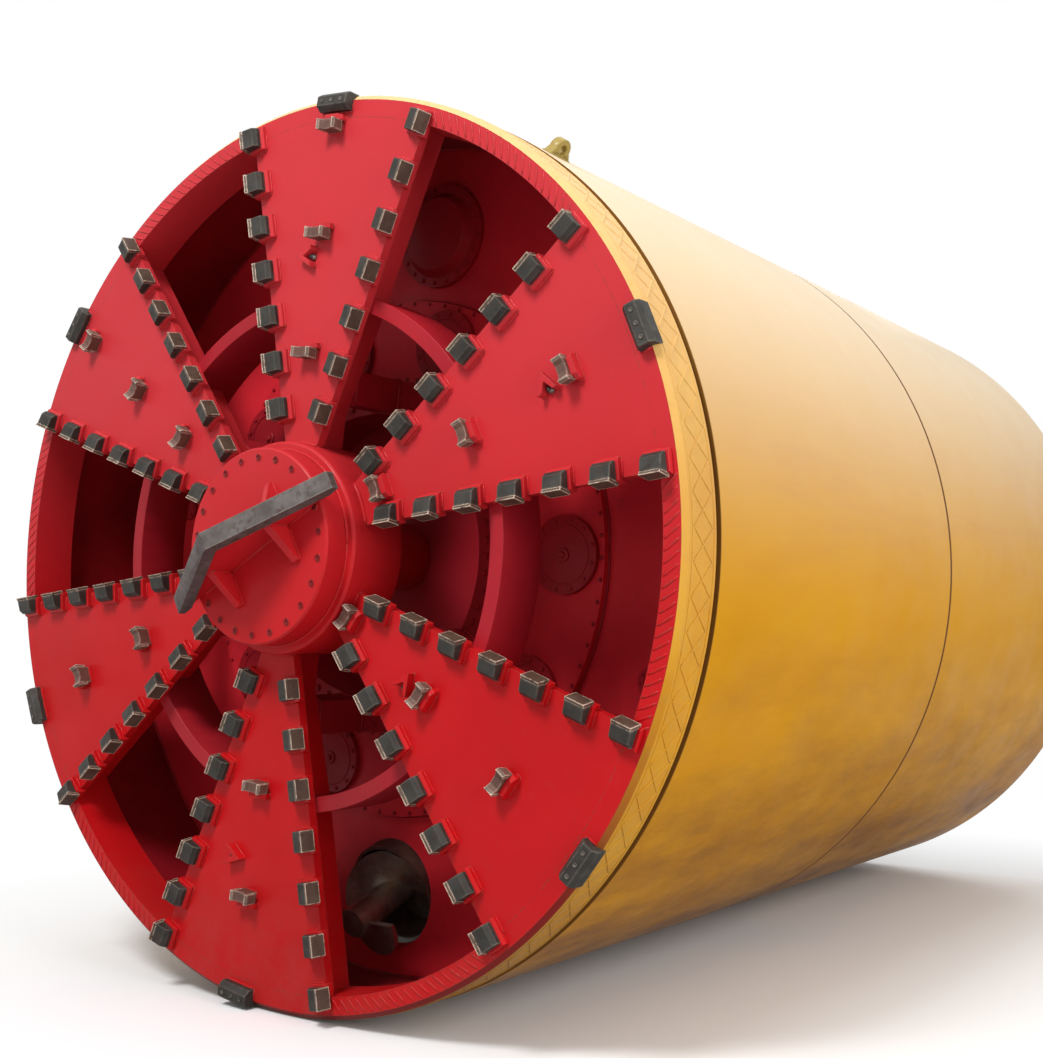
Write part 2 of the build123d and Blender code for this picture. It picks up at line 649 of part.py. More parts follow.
# Dished hatch cover on the front of the bulkhead
with BuildPart() as hatch_cover:
    with BuildSketch(across(BULKHEAD_DEPTH)):
        with Locations(at(HATCH_CIRCLE_RADIUS, LOCK_ANGLE)):
            Circle(HATCH_RADIUS)
    extrude(amount=HATCH_PLATE)
    with BuildSketch(across(BULKHEAD_DEPTH - HATCH_PLATE)):
        with Locations(at(HATCH_CIRCLE_RADIUS, LOCK_ANGLE)):
            Circle(HATCH_RADIUS - HATCH_DISH)
    extrude(amount=HATCH_DISH, taper=35)
keep(hatch_cover.part, "hatch_cover")

# Main drive housing behind the bulkhead: its bearing holds the drum, and its back is closed
with BuildPart() as drive_housing:
    with BuildSketch(SECTION):
        Polygon(
            (LOCK_FRONT, DRUM_RADIUS + RUNNING_FIT),
            (HOUSING_BACK, DRUM_RADIUS + RUNNING_FIT),
            (HOUSING_BACK, 0),
            (HOUSING_BACK + HOUSING_COVER, 0),
            (HOUSING_BACK + HOUSING_COVER, HOUSING_RADIUS),
            (LOCK_FRONT, HOUSING_RADIUS),
            align=None,
        )
    revolve(axis=MACHINE_AXIS)
keep(drive_housing.part, "drive_housing")

# Drive motors on their reducers; no motor stands where the screw conveyor passes
SCREW_WAY = CASING_RADIUS + REDUCER_RADIUS + 60.0
MOTOR_PLACES = [at(PINION_CIRCLE_RADIUS, angle) for angle in PINION_ANGLES]
MOTOR_PLACES = [(x, z) for x, z in MOTOR_PLACES if z > 0 or abs(x) > SCREW_WAY]
with BuildPart() as drive_motors:
    with BuildSketch(across(HOUSING_BACK + HOUSING_COVER)):
        with Locations(*MOTOR_PLACES):
            Circle(REDUCER_RADIUS)
    extrude(amount=-REDUCER_LENGTH)
    with BuildSketch(across(HOUSING_BACK + HOUSING_COVER + REDUCER_LENGTH)):
        with Locations(*MOTOR_PLACES):
            Circle(MOTOR_RADIUS)
    extrude(amount=-MOTOR_LENGTH)
keep(drive_motors.part, "drive_motors")

# Man lock: a pressure vessel behind the hatch, with a doorway in its rear end and hinge eyes beside it
LOCK_X, LOCK_UP = at(LOCK_CIRCLE_RADIUS, LOCK_ANGLE)
HINGE_X = LOCK_X - HINGE_OFFSET
HINGE_Y = FACE_Y + LOCK_BACK + HINGE_DEPTH
LOCK_Z = AXIS_Z + LOCK_UP
EYE_OFFSET = HINGE_TUBE_LENGTH / 2 + 10.0 + HINGE_EYE_LENGTH / 2
with BuildPart() as man_lock:
    with BuildSketch(across(LOCK_FRONT)):
        with Locations((LOCK_X, LOCK_UP)):
            Circle(LOCK_RADIUS)
            Circle(LOCK_RADIUS - LOCK_WALL, mode=Mode.SUBTRACT)
    extrude(amount=-(LOCK_BACK - LOCK_FRONT))
    with BuildSketch(across(LOCK_BACK - LOCK_END)):
        with Locations((LOCK_X, LOCK_UP)):
            Circle(LOCK_RADIUS)
            Circle(DOOR_OPENING, mode=Mode.SUBTRACT)
    extrude(amount=-LOCK_END)
    for level in (-EYE_OFFSET, EYE_OFFSET):
        with BuildSketch(Plane.XY.offset(LOCK_Z + level)):
            with Locations((HINGE_X, HINGE_Y - HINGE_DEPTH / 2)):
                Rectangle(2 * HINGE_EYE_RADIUS, HINGE_DEPTH)
            with Locations((HINGE_X, HINGE_Y)):
                Circle(HINGE_EYE_RADIUS)
                Circle(HINGE_PIN_RADIUS + RUNNING_FIT, mode=Mode.SUBTRACT)
        extrude(amount=HINGE_EYE_LENGTH / 2, both=True)
keep(man_lock.part, "man_lock")

# The man lock's rear door with its hinge strap, tube and pin
with BuildPart() as lock_door:
    with BuildSketch(across(LOCK_BACK + DOOR_GAP)):
        with Locations((LOCK_X, LOCK_UP)):
            Circle(DOOR_RADIUS)
    extrude(amount=-DOOR_PLATE)
    with BuildSketch(Plane.XY.offset(LOCK_Z)):
        with Locations((HINGE_X, HINGE_Y)):
            Circle(HINGE_EYE_RADIUS - 2)
            Polygon((0, -9), (200, -9), (200, 30), (0, 30), align=None)
    extrude(amount=HINGE_TUBE_LENGTH / 2, both=True)
    with BuildSketch(Plane.XY.offset(LOCK_Z)):
        with Locations((HINGE_X, HINGE_Y)):
            Circle(HINGE_PIN_RADIUS)
    extrude(amount=EYE_OFFSET + HINGE_EYE_LENGTH / 2 + 10, both=True)
keep(lock_door.part, "lock_door")

# Girder rings that carry the thrust jacks
JACK_PLACES = [at(JACK_CIRCLE_RADIUS, angle) for angle in JACK_ANGLES]
with BuildPart() as jack_girders:
    with BuildSketch(across(GIRDER_FRONT)):
        Circle(SHELL_INNER)
        Circle(GIRDER_INNER_RADIUS, mode=Mode.SUBTRACT)
    extrude(amount=-GIRDER_PLATE)
    with BuildSketch(across(GIRDER_REAR)):
        Circle(TAIL_INNER)
        Circle(GIRDER_INNER_RADIUS, mode=Mode.SUBTRACT)
        with Locations(*JACK_PLACES):
            Circle(JACK_BARREL_RADIUS, mode=Mode.SUBTRACT)
    extrude(amount=-GIRDER_PLATE)
keep(jack_girders.part, "jack_girders")

# Thrust jack barrels, bored for their rods
with BuildPart() as jack_barrels:
    with BuildSketch(across(GIRDER_FRONT + GIRDER_PLATE)):
        with Locations(*JACK_PLACES):
            Circle(JACK_BARREL_RADIUS)
    extrude(amount=-(BARREL_END - GIRDER_FRONT - GIRDER_PLATE))
    with BuildSketch(across(BORE_START)):
        with Locations(*JACK_PLACES):
            Circle(JACK_ROD_RADIUS + RUNNING_FIT)
    extrude(amount=-(BARREL_END - BORE_START), mode=Mode.SUBTRACT)
keep(jack_barrels.part, "jack_barrels")

# One shoe along +X: the pad that pushes on the lining
with BuildPart() as shoe:
    with BuildSketch():
        with BuildLine():
            h = SHOE_HALF_ANGLE
            Line(at(SHOE_INNER_RADIUS, h), at(SHOE_OUTER_RADIUS, h))
            ThreePointArc(at(SHOE_OUTER_RADIUS, h), (SHOE_OUTER_RADIUS, 0), at(SHOE_OUTER_RADIUS, -h))
            Line(at(SHOE_OUTER_RADIUS, -h), at(SHOE_INNER_RADIUS, -h))
            ThreePointArc(at(SHOE_INNER_RADIUS, -h), (SHOE_INNER_RADIUS, 0), at(SHOE_INNER_RADIUS, h))
        make_face()
    extrude(amount=-SHOE_PLATE)

# Jack rods and shoes, in four groups that move together
for group, first in QUADRANTS.items():
    angles = [first + 360 / JACK_COUNT * (i + 0.5) for i in range(JACK_COUNT // 4)]
    with BuildPart() as jack_rods:
        with BuildSketch(across(ROD_START)):
            with Locations(*[at(JACK_CIRCLE_RADIUS, angle) for angle in angles]):
                Circle(JACK_ROD_RADIUS)
        extrude(amount=-(ROD_END - ROD_START))
    keep(jack_rods.part, f"jack_rods_{group}")
    with BuildPart() as jack_shoes:
        with Locations(*[turned_to(angle, ROD_END).location for angle in angles]):
            add(shoe.part)
    keep(jack_shoes.part, f"jack_shoes_{group}")

# Screw conveyor casing, from its mouth in the bulkhead up to the discharge
CHUTE_Y = FACE_Y + BULKHEAD_DEPTH + CHUTE_ALONG * cos(SLOPE)
CHUTE_Z = AXIS_Z - SCREW_DROP + CHUTE_ALONG * sin(SLOPE)
CHUTE_HOLE = CHUTE_SIZE - 2 * CHUTE_WALL
with BuildPart() as screw_casing:
    with BuildSketch(screw_at(0)):
        Circle(CASING_RADIUS)
        Circle(CASING_RADIUS - CASING_WALL, mode=Mode.SUBTRACT)
    extrude(amount=CASING_LENGTH)
    for along in CASING_FLANGES:
        with BuildSketch(screw_at(along)):
            Circle(CASING_FLANGE_RADIUS)
            Circle(CASING_RADIUS - CASING_WALL, mode=Mode.SUBTRACT)
        extrude(amount=CASING_FLANGE_PLATE)
    # discharge opening in the underside, down into the chute
    with BuildSketch(Plane.XY.offset(CHUTE_Z)):
        with Locations((0, CHUTE_Y)):
            Rectangle(CHUTE_HOLE, CHUTE_HOLE)
    extrude(amount=-CHUTE_DROP, mode=Mode.SUBTRACT)
keep(screw_casing.part, "screw_casing")

# Discharge chute under the casing, with the guides that hold its gate
with BuildPart() as discharge_chute:
    with BuildSketch(Plane.XY.offset(CHUTE_Z)):
        with Locations((0, CHUTE_Y)):
            Rectangle(CHUTE_SIZE, CHUTE_SIZE)
            Rectangle(CHUTE_HOLE, CHUTE_HOLE, mode=Mode.SUBTRACT)
    extrude(amount=-CHUTE_DROP)
    with BuildSketch(screw_at(CHUTE_ALONG - CHUTE_SIZE)):
        Circle(CASING_RADIUS)
    extrude(amount=2 * CHUTE_SIZE, mode=Mode.SUBTRACT)
    for side in (-1, 1):
        with BuildSketch(Plane.XZ.offset(CHUTE_SIZE / 2 - CHUTE_Y)):
            with Locations((side * CHUTE_SIZE / 2, CHUTE_Z - CHUTE_DROP)):
                Polygon(*[(side * x, z) for x, z in GUIDE_OUTLINE], align=None)
        extrude(amount=-2 * CHUTE_SIZE)
keep(discharge_chute.part, "discharge_chute")

# Sliding gate under the chute, with the lug that its cylinder pulls
with BuildPart() as discharge_gate:
    with BuildSketch(Plane.XY.offset(CHUTE_Z - CHUTE_DROP - GATE_PLAY)):
        with Locations((0, CHUTE_Y)):
            Rectangle(CHUTE_SIZE + 2 * GATE_LIP, CHUTE_SIZE - 20)
    extrude(amount=-GATE_PLATE)
    with BuildSketch(Plane.XY.offset(CHUTE_Z - CHUTE_DROP - GATE_PLAY - GATE_PLATE)):
        with Locations((0, CHUTE_Y + CHUTE_SIZE / 2 - 60)):
            Rectangle(160, 60)
    extrude(amount=-70)
keep(discharge_gate.part, "discharge_gate")

# Screw drive at the casing's upper end, bored for the shaft
with BuildPart() as screw_drive:
    with BuildSketch(screw_at(CASING_LENGTH)):
        Circle(SCREW_DRIVE_RADIUS)
    extrude(amount=SCREW_DRIVE_LENGTH)
    with BuildSketch(screw_at(CASING_LENGTH)):
        Circle(SHAFT_RADIUS + RUNNING_FIT)
    extrude(amount=SHAFT_SEAT + 10, mode=Mode.SUBTRACT)
keep(screw_drive.part, "screw_drive")

# The screw itself: its shaft, and the flight where it can be seen
with BuildPart() as screw_shaft:
    with BuildSketch(screw_at(-NOSE_REACH - NOSE_LENGTH)):
        Circle(SHAFT_RADIUS)
    extrude(amount=NOSE_REACH + NOSE_LENGTH + CASING_LENGTH + SHAFT_SEAT)
keep(screw_shaft.part, "screw_shaft")

with BuildPart() as helicoid:
    with BuildLine():
        Helix(pitch=FLIGHT_PITCH, height=FLIGHT_PITCH * FLIGHT_TURNS, radius=SHAFT_RADIUS)
    with BuildSketch(Plane.XZ):
        with Locations(((SHAFT_RADIUS + FLIGHT_RADIUS) / 2 - 10, 0)):
            Rectangle(FLIGHT_RADIUS - SHAFT_RADIUS + 20, FLIGHT_PLATE)
    sweep(is_frenet=True)
    with BuildSketch(Plane.XY.offset(-FLIGHT_PITCH)):
        Circle(SHAFT_RADIUS)
    extrude(amount=FLIGHT_PITCH * (FLIGHT_TURNS + 2), mode=Mode.SUBTRACT)

with BuildPart() as screw_flight:
    with Locations(screw_at(-NOSE_REACH).location):
        add(helicoid.part)
keep(screw_flight.part, "screw_flight")

# Erector frame: beams back from the rear girder, each with a bracket and a roller for the turning ring
with BuildPart() as erector_frame:
    for angle in ROLLER_ANGLES:
        spot = at(ERECTOR_OUTER + ROLLER_RADIUS + ROLLER_GAP, angle)
        with BuildSketch(across(ERECTOR_DEPTH + 10)):
            with Locations(spot):
                Circle(ROLLER_RADIUS)
        extrude(amount=20 - ERECTOR_WIDTH)
        with BuildSketch(turned_to(angle, GIRDER_REAR + GIRDER_PLATE)):
            with Locations((BEAM_RADIUS, 0)):
                Rectangle(BEAM_HEIGHT, BEAM_WIDTH)
        extrude(amount=-(ERECTOR_DEPTH - BRACKET_PLATE - GIRDER_REAR - GIRDER_PLATE))
        with BuildSketch(turned_to(angle, ERECTOR_DEPTH - BRACKET_PLATE)):
            with Locations((BEAM_RADIUS - BRACKET_DROP, 0)):
                Rectangle(BRACKET_HEIGHT, BEAM_WIDTH)
        extrude(amount=-BRACKET_PLATE)
        with BuildSketch(across(ERECTOR_DEPTH)):
            with Locations(spot):
                Circle(ROLLER_RADIUS - 50)
        extrude(amount=-10)
keep(erector_frame.part, "erector_frame")

# Erector ring with the two guide posts of its lifting head
with BuildPart() as erector_ring:
    with BuildSketch(across(ERECTOR_DEPTH)):
        Circle(ERECTOR_OUTER)
        Circle(ERECTOR_INNER, mode=Mode.SUBTRACT)
    extrude(amount=-ERECTOR_WIDTH)
    for side in (-1, 1):
        with BuildSketch(Plane.XY.offset(AXIS_Z - POST_INNER)):
            with Locations((side * POST_OFFSET, FACE_Y + ERECTOR_DEPTH + ERECTOR_WIDTH + POST_DEPTH / 2)):
                Rectangle(POST_WIDTH, POST_DEPTH)
        extrude(amount=POST_INNER - POST_OUTER)
keep(erector_ring.part, "erector_ring")

# Lifting head between the posts, with the gripping block on its rear
HEAD_Y = FACE_Y + ERECTOR_DEPTH + ERECTOR_WIDTH + 10.0
with BuildPart() as erector_head:
    with BuildSketch(Plane.XY.offset(AXIS_Z - HEAD_INNER)):
        with Locations((0, HEAD_Y + POST_DEPTH / 2)):
            Rectangle(2 * POST_OFFSET - POST_WIDTH - 2 * HEAD_PLAY, POST_DEPTH)
        with Locations((0, HEAD_Y + POST_DEPTH + GRIP_DEPTH / 2)):
            Rectangle(GRIP_WIDTH, GRIP_DEPTH)
    extrude(amount=-HEAD_HEIGHT)
keep(erector_head.part, "erector_head")

# Tail seal: three rows of wire brush, each a ring that leans back from the skin
with BuildPart() as tail_seal:
    with BuildSketch(SECTION):
        for depth in SEAL_DEPTHS:
            Polygon(
                (depth, TAIL_INNER),
                (depth + SEAL_LENGTH, TAIL_INNER - SEAL_HEIGHT),
                (depth + SEAL_LENGTH, TAIL_INNER),
                align=None,
            )
    revolve(axis=MACHINE_AXIS)
keep(tail_seal.part, "tail_seal")

# Lifting lugs on top of the shield
LUG_MIDDLE = -LUG_DEPTH - LUG_LENGTH / 2
LUG_TOP = SHIELD_RADIUS + LUG_HEIGHT - LUG_LENGTH / 3
with BuildPart() as lifting_lugs:
    for angle in LUG_ANGLES:
        with BuildSketch(radial_cut(angle)):
            with BuildLine():
                Polyline(
                    (LUG_TOP, LUG_MIDDLE + LUG_LENGTH / 3),
                    (SHIELD_RADIUS, -LUG_DEPTH),
                    (SHIELD_RADIUS, -LUG_DEPTH - LUG_LENGTH),
                    (LUG_TOP, LUG_MIDDLE - LUG_LENGTH / 3),
                )
                ThreePointArc(
                    (LUG_TOP, LUG_MIDDLE - LUG_LENGTH / 3),
                    (SHIELD_RADIUS + LUG_HEIGHT, LUG_MIDDLE),
                    (LUG_TOP, LUG_MIDDLE + LUG_LENGTH / 3),
                )
            make_face()
            with Locations((LUG_TOP, LUG_MIDDLE)):
                Circle(LUG_BORE_RADIUS, mode=Mode.SUBTRACT)
        extrude(amount=LUG_PLATE / 2, both=True)
keep(lifting_lugs.part, "lifting_lugs")
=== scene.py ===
"""Looks of the tunnel boring machine: paint, steel, weld beads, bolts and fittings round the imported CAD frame.

Metres. The machine's axis lies along Y at the height of the shield's radius, and the cutterhead looks towards -Y.
"Depth" is the distance back from the plane of the cutterhead's face. Angles round the axis are in degrees, read
from in front, from +X (right) towards +Z (up).
"""

import json
import math
import random

import bmesh
import bpy
from mathutils import Matrix, Vector


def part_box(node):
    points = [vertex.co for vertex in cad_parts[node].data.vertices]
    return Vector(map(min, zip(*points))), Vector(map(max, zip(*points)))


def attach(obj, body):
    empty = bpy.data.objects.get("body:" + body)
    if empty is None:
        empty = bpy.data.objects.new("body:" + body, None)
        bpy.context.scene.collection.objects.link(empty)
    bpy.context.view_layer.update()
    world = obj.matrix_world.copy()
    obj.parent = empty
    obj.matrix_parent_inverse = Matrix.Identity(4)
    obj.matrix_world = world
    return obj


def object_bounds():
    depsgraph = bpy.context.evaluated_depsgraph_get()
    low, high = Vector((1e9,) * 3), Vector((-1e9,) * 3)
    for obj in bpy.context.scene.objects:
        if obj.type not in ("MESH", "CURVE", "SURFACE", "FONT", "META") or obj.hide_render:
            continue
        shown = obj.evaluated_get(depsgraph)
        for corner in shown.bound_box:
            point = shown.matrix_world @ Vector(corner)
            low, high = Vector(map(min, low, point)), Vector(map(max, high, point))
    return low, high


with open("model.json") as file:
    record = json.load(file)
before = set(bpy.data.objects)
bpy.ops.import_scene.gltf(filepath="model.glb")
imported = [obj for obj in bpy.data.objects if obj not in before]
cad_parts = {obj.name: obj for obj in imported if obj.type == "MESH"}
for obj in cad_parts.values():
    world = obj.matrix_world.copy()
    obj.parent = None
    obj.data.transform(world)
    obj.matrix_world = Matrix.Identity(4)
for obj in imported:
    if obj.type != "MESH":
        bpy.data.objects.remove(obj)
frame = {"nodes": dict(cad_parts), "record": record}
cad_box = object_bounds()
random.seed(11)

# Measures taken from the frame
SHIELD_LOW, SHIELD_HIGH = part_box("front_shield")
AXIS_Z = (SHIELD_LOW[2] + SHIELD_HIGH[2]) / 2
FACE_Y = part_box("rim_ring")[0][1]


def radius_across(name):
    """Half of a node's width across the machine."""
    low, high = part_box(name)
    return (high[0] - low[0]) / 2


def front_of(name):
    """The depth of a node's front."""
    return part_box(name)[0][1] - FACE_Y


def back_of(name):
    """The depth of a node's back."""
    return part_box(name)[1][1] - FACE_Y


SHIELD_R = radius_across("front_shield")
FACE_R = radius_across("rim_ring")
BAND_R = radius_across("wear_band")
COVER_R = radius_across("hub_cover")
HUB_R = radius_across("hub")
DRUM_R = radius_across("drive_drum")
HOUSING_R = radius_across("drive_housing")
SHELL_INNER = radius_across("bulkhead")
TAIL_INNER = radius_across("tail_seal")
RIM_BACK = back_of("rim_ring")
SHELL_FRONT = front_of("front_shield")
SEAM_DEPTH = front_of("tail_shield")
TAIL_DEPTH = back_of("tail_shield")
COVER_PROUD = -front_of("hub_cover")
HUB_PROUD = -front_of("hub")
COVER_DEPTH = front_of("pinion_covers")
BEARING_RING_DEPTH = back_of("pinion_covers")
DRUM_FRONT = front_of("drive_drum")
HOUSING_BACK = back_of("drive_housing")
# Sizes of the CAD that no node's box gives
RIM_INNER = SHIELD_R - 0.160
BEARING_RING_R = HOUSING_R + 0.040
BULKHEAD_DEPTH = BEARING_RING_DEPTH + 0.060
BARREL_R, ROD_R = 0.160, 0.105
JACK_CIRCLE = TAIL_INNER - 0.080 - BARREL_R
JACK_PITCH = 22.5
FLANGE_HALF = 0.059
PANEL_ANGLES = [22 + 60 * i for i in range(6)]
PANEL_HALF_ANGLE = math.radians(17.2)
PANEL_EDGE_INSET = 0.066
SCREW_SLOPE = math.radians(20)
SCREW_DROP = 2.5096
CASING_R = 0.1183 * SHIELD_R
CASING_LENGTH = (TAIL_DEPTH - 0.264 - BULKHEAD_DEPTH) / math.cos(SCREW_SLOPE) - 0.620

# Materials
SPECULAR = "Specular IOR Level"


class Nodes:
    """Builds a node tree. Every input takes a value, a colour or another node's output."""

    def __init__(self, tree):
        tree.nodes.clear()
        self.tree = tree

    def put(self, made, key, value):
        """Sets or links one input of a node."""
        socket = made.inputs[key]
        if isinstance(value, bpy.types.NodeSocket):
            self.tree.links.new(value, socket)
        elif socket.type == "RGBA":
            socket.default_value = (*value, 1.0)
        else:
            socket.default_value = value

    def add(self, kind, inputs=None, **settings):
        """A new node."""
        made = self.tree.nodes.new("ShaderNode" + kind)
        for key, value in settings.items():
            setattr(made, key, value)
        for key, value in (inputs or {}).items():
            self.put(made, key, value)
        return made

    def noise(self, scale, detail, rough=0.55, stretch=None):
        """A noise over the object's own space, optionally stretched along its axes."""
        where = self.add("TexCoord").outputs["Object"]
        if stretch:
            where = self.add("Mapping", {"Vector": where, "Scale": stretch}).outputs["Vector"]
        inputs = {"Vector": where, "Scale": scale, "Detail": detail, "Roughness": rough}
        return self.add("TexNoise", inputs).outputs["Fac"]

    def remap(self, value, low, high, to_low=0.0, to_high=1.0, smooth=False):
        """A value mapped from one range to another and held there, evenly or easing in and out."""
        inputs = {"Value": value, "From Min": low, "From Max": high, "To Min": to_low, "To Max": to_high}
        ease = "SMOOTHSTEP" if smooth else "LINEAR"
        return self.add("MapRange", inputs, interpolation_type=ease).outputs["Result"]

    def patches(self, scale, detail, low, high, most=1.0, rough=0.55, stretch=None):
        """Patches of noise: 0 where it is under low, and most where it is over high."""
        return self.remap(self.noise(scale, detail, rough, stretch), low, high, 0.0, most)

    def mix(self, factor, a, b):
        """Two colours mixed by a factor."""
        return self.add("Mix", {0: factor, 6: a, 7: b}, data_type="RGBA").outputs[2]

    def layers(self, base, *over):
        """A colour with others laid over it, each where its mask is 1."""
        for mask, colour in over:
            base = self.mix(mask, base, colour)
        return base

    def math(self, operation, a, b=0.0):
        """One arithmetic step between two values."""
        return self.add("Math", {0: a, 1: b}, operation=operation).outputs["Value"]

    def times(self, a, b):
        """The product of two values."""
        return self.math("MULTIPLY", a, b)

    def place(self, name):
        """The X, Y or Z of the point being shaded."""
        return self.add("SeparateXYZ", {"Vector": self.add("TexCoord").outputs["Object"]}).outputs[name]

    def radius(self):
        """The distance from the machine's axis of the point being shaded."""
        across, up = self.place("X"), self.math("SUBTRACT", self.place("Z"), AXIS_Z)
        return self.math("SQRT", self.math("ADD", self.times(across, across), self.times(up, up)))

    def behind(self, near, far):
        """0 up to one depth and 1 from the other."""
        return self.remap(self.place("Y"), FACE_Y + near, FACE_Y + far)

    def above(self, low, high, most=1.0, smooth=False):
        """0 up to one height and most from the other, or falling with height where low is the higher."""
        return self.remap(self.place("Z"), low, high, 0.0, most, smooth)

    def edge_wear(self, radius=0.012):
        """Near 1 on sharp outer edges, from the bevelled normal's lean away from the true one."""
        bevel = self.add("Bevel", {"Radius": radius}, samples=4).outputs["Normal"]
        true = self.add("NewGeometry").outputs["Normal"]
        return self.remap(self.add("VectorMath", {0: bevel, 1: true}, operation="DOT_PRODUCT").outputs["Value"],
                          0.995, 0.86)

    def white_rays(self):
        """1 for the rays that see the white background: the camera's, and those in metal and glass."""
        rays = self.add("LightPath").outputs
        seen = self.math("MAXIMUM", rays["Is Camera Ray"], rays["Is Glossy Ray"])
        return self.math("MAXIMUM", seen, rays["Is Transmission Ray"])


class Surface(Nodes):
    """A material round one shader."""

    def __init__(self, name):
        self.material = bpy.data.materials.new(name)
        self.material.use_nodes = True
        super().__init__(self.material.node_tree)
        self.shader = self.add("BsdfPrincipled")
        self.end = self.add("OutputMaterial", {"Surface": self.shader.outputs["BSDF"]})

    def gloss(self, low, high, scale=3.5, detail=6.0, limit=0.75):
        """A roughness that drifts between two values."""
        return self.remap(self.noise(scale, detail), 0.3, limit, low, high)

    def finish(self, colour, rough, relief, strength, depth, inputs):
        """Sets the shader's colour, roughness, bump and other inputs, and returns the material."""
        bump = self.add("Bump", {"Height": relief, "Strength": strength, "Distance": depth})
        inputs = {"Base Color": colour, "Roughness": rough, "Normal": bump.outputs["Normal"], **inputs}
        for key, value in inputs.items():
            self.put(self.shader, key, value)
        return self.material


def paint(name, colour, deep, dust, rough, coat, dirt_height, shine=0.5, chips=None, painted_top_highlight=None):
    """Sprayed machine paint: uneven in colour, dusty in patches, with a painted highlight on top where given, dirty
    low down, worn at edges.
    """
    s = Surface(name)
    base = s.layers(colour, (s.patches(0.9, 5.0, 0.35, 0.68), deep),
                    (s.patches(14.0, 6.0, 0.54, 0.80, 0.22, 0.65), dust))
    # paler towards the top: a painted highlight standing in for the sky's reflection
    if painted_top_highlight:
        base = s.mix(s.above(2.0, 4.9, 0.58, True), base, painted_top_highlight)
    # splashes and dust that reach up from below
    smear = s.patches(2.6, 8.0, 0.42, 0.72, 1.0, 0.7, (1.0, 0.45, 1.0))
    base = s.mix(s.times(s.above(dirt_height, 0.0), smear), base, dust)
    if chips:
        base = s.mix(s.times(s.edge_wear(), s.patches(30.0, 6.0, 0.44, 0.56)), base, chips)
    return s.finish(base, s.gloss(rough - 0.07, rough + 0.16), s.noise(90.0, 3.0), 0.05, 0.002,
                    {SPECULAR: shine, "Coat Weight": coat, "Coat Roughness": 0.12})


def steel(name, colour, tint, rough, metallic, grain, depth, rust=None, edges=None, shine=0.5):
    """Bare or scaled steel: blotches of tint, pitting, rust in the hollows and bright edges where they are given."""
    s = Surface(name)
    base = s.mix(s.patches(7.0, 8.0, 0.36, 0.66, 1.0, 0.6), colour, tint)
    if rust:
        base = s.mix(s.patches(18.0, 9.0, 0.54, 0.66, 0.85, 0.7), base, rust)
    if edges:
        base = s.mix(s.times(s.edge_wear(0.014), s.patches(22.0, 5.0, 0.34, 0.50)), base, edges)
    return s.finish(base, s.gloss(rough - 0.1, rough + 0.18, 24.0, 6.0, 0.7), s.noise(grain, 6.0, 0.7), depth, 0.004,
                    {SPECULAR: shine, "Metallic": metallic})


def shell_paint(name):
    """The shield's yellow outside, with a brown line in the seam, the chamber's red and the white inside."""
    s = Surface(name)
    low = s.above(2.8, 0.4)
    from_seam = s.math("ABSOLUTE", s.math("SUBTRACT", s.place("Y"), FACE_Y + SEAM_DEPTH))
    outside = s.layers(
        (0.555, 0.258, 0.003),
        (s.patches(0.45, 6.0, 0.34, 0.68, 1.0, 0.6, (1.0, 0.5, 1.0)), (0.495, 0.207, 0.002)),
        (s.patches(2.2, 8.0, 0.50, 0.80, 0.5, 0.7, (1.0, 0.16, 1.0)), (0.43, 0.160, 0.006)),
        # paler towards the top: a painted highlight of the sky's reflection; brown with splashes low down
        (s.above(2.6, 5.7, 0.78, True), (0.81, 0.70, 0.52)),
        (s.times(low, s.patches(1.5, 9.0, 0.38, 0.64, 1.0, 0.72, (1.0, 0.35, 1.0))), (0.19, 0.066, 0.014)),
        (s.times(low, s.patches(26.0, 4.0, 0.66, 0.74, 0.55, 0.6)), (0.10, 0.045, 0.02)),
        # the seam's groove and the shell's front edge are in shadow and hold dirt
        (s.remap(from_seam, 0.024, 0.015), (0.13, 0.048, 0.012)),
        (s.behind(SHELL_FRONT + 0.012, SHELL_FRONT), (0.20, 0.085, 0.014)),
    )
    red = s.mix(s.patches(1.6, 7.0, 0.35, 0.7), (0.28, 0.009, 0.015), (0.17, 0.006, 0.010))
    white = s.layers(
        (0.62, 0.62, 0.58),
        (s.patches(1.1, 8.0, 0.40, 0.70, 1.0, 0.65), (0.44, 0.41, 0.36)),
        (s.times(s.patches(5.0, 9.0, 0.50, 0.66, 1.0, 0.75), low), (0.24, 0.13, 0.07)),
    )
    inside = s.mix(s.behind(BULKHEAD_DEPTH, BULKHEAD_DEPTH + 0.01), red, white)
    skin = s.remap(s.radius(), SHIELD_R - 0.035, SHIELD_R - 0.025)
    # long rolled plates are never quite true, and the paint has some orange peel
    waves = s.math("ADD", s.noise(0.55, 2.0, 0.4), s.times(s.noise(70.0, 3.0), 0.006))
    return s.finish(s.mix(skin, inside, outside), s.gloss(0.36, 0.56, 2.5, 7.0), waves, 0.25, 0.05,
                    {SPECULAR: 0.05, "Sheen Weight": 0.06, "Sheen Roughness": 0.35})


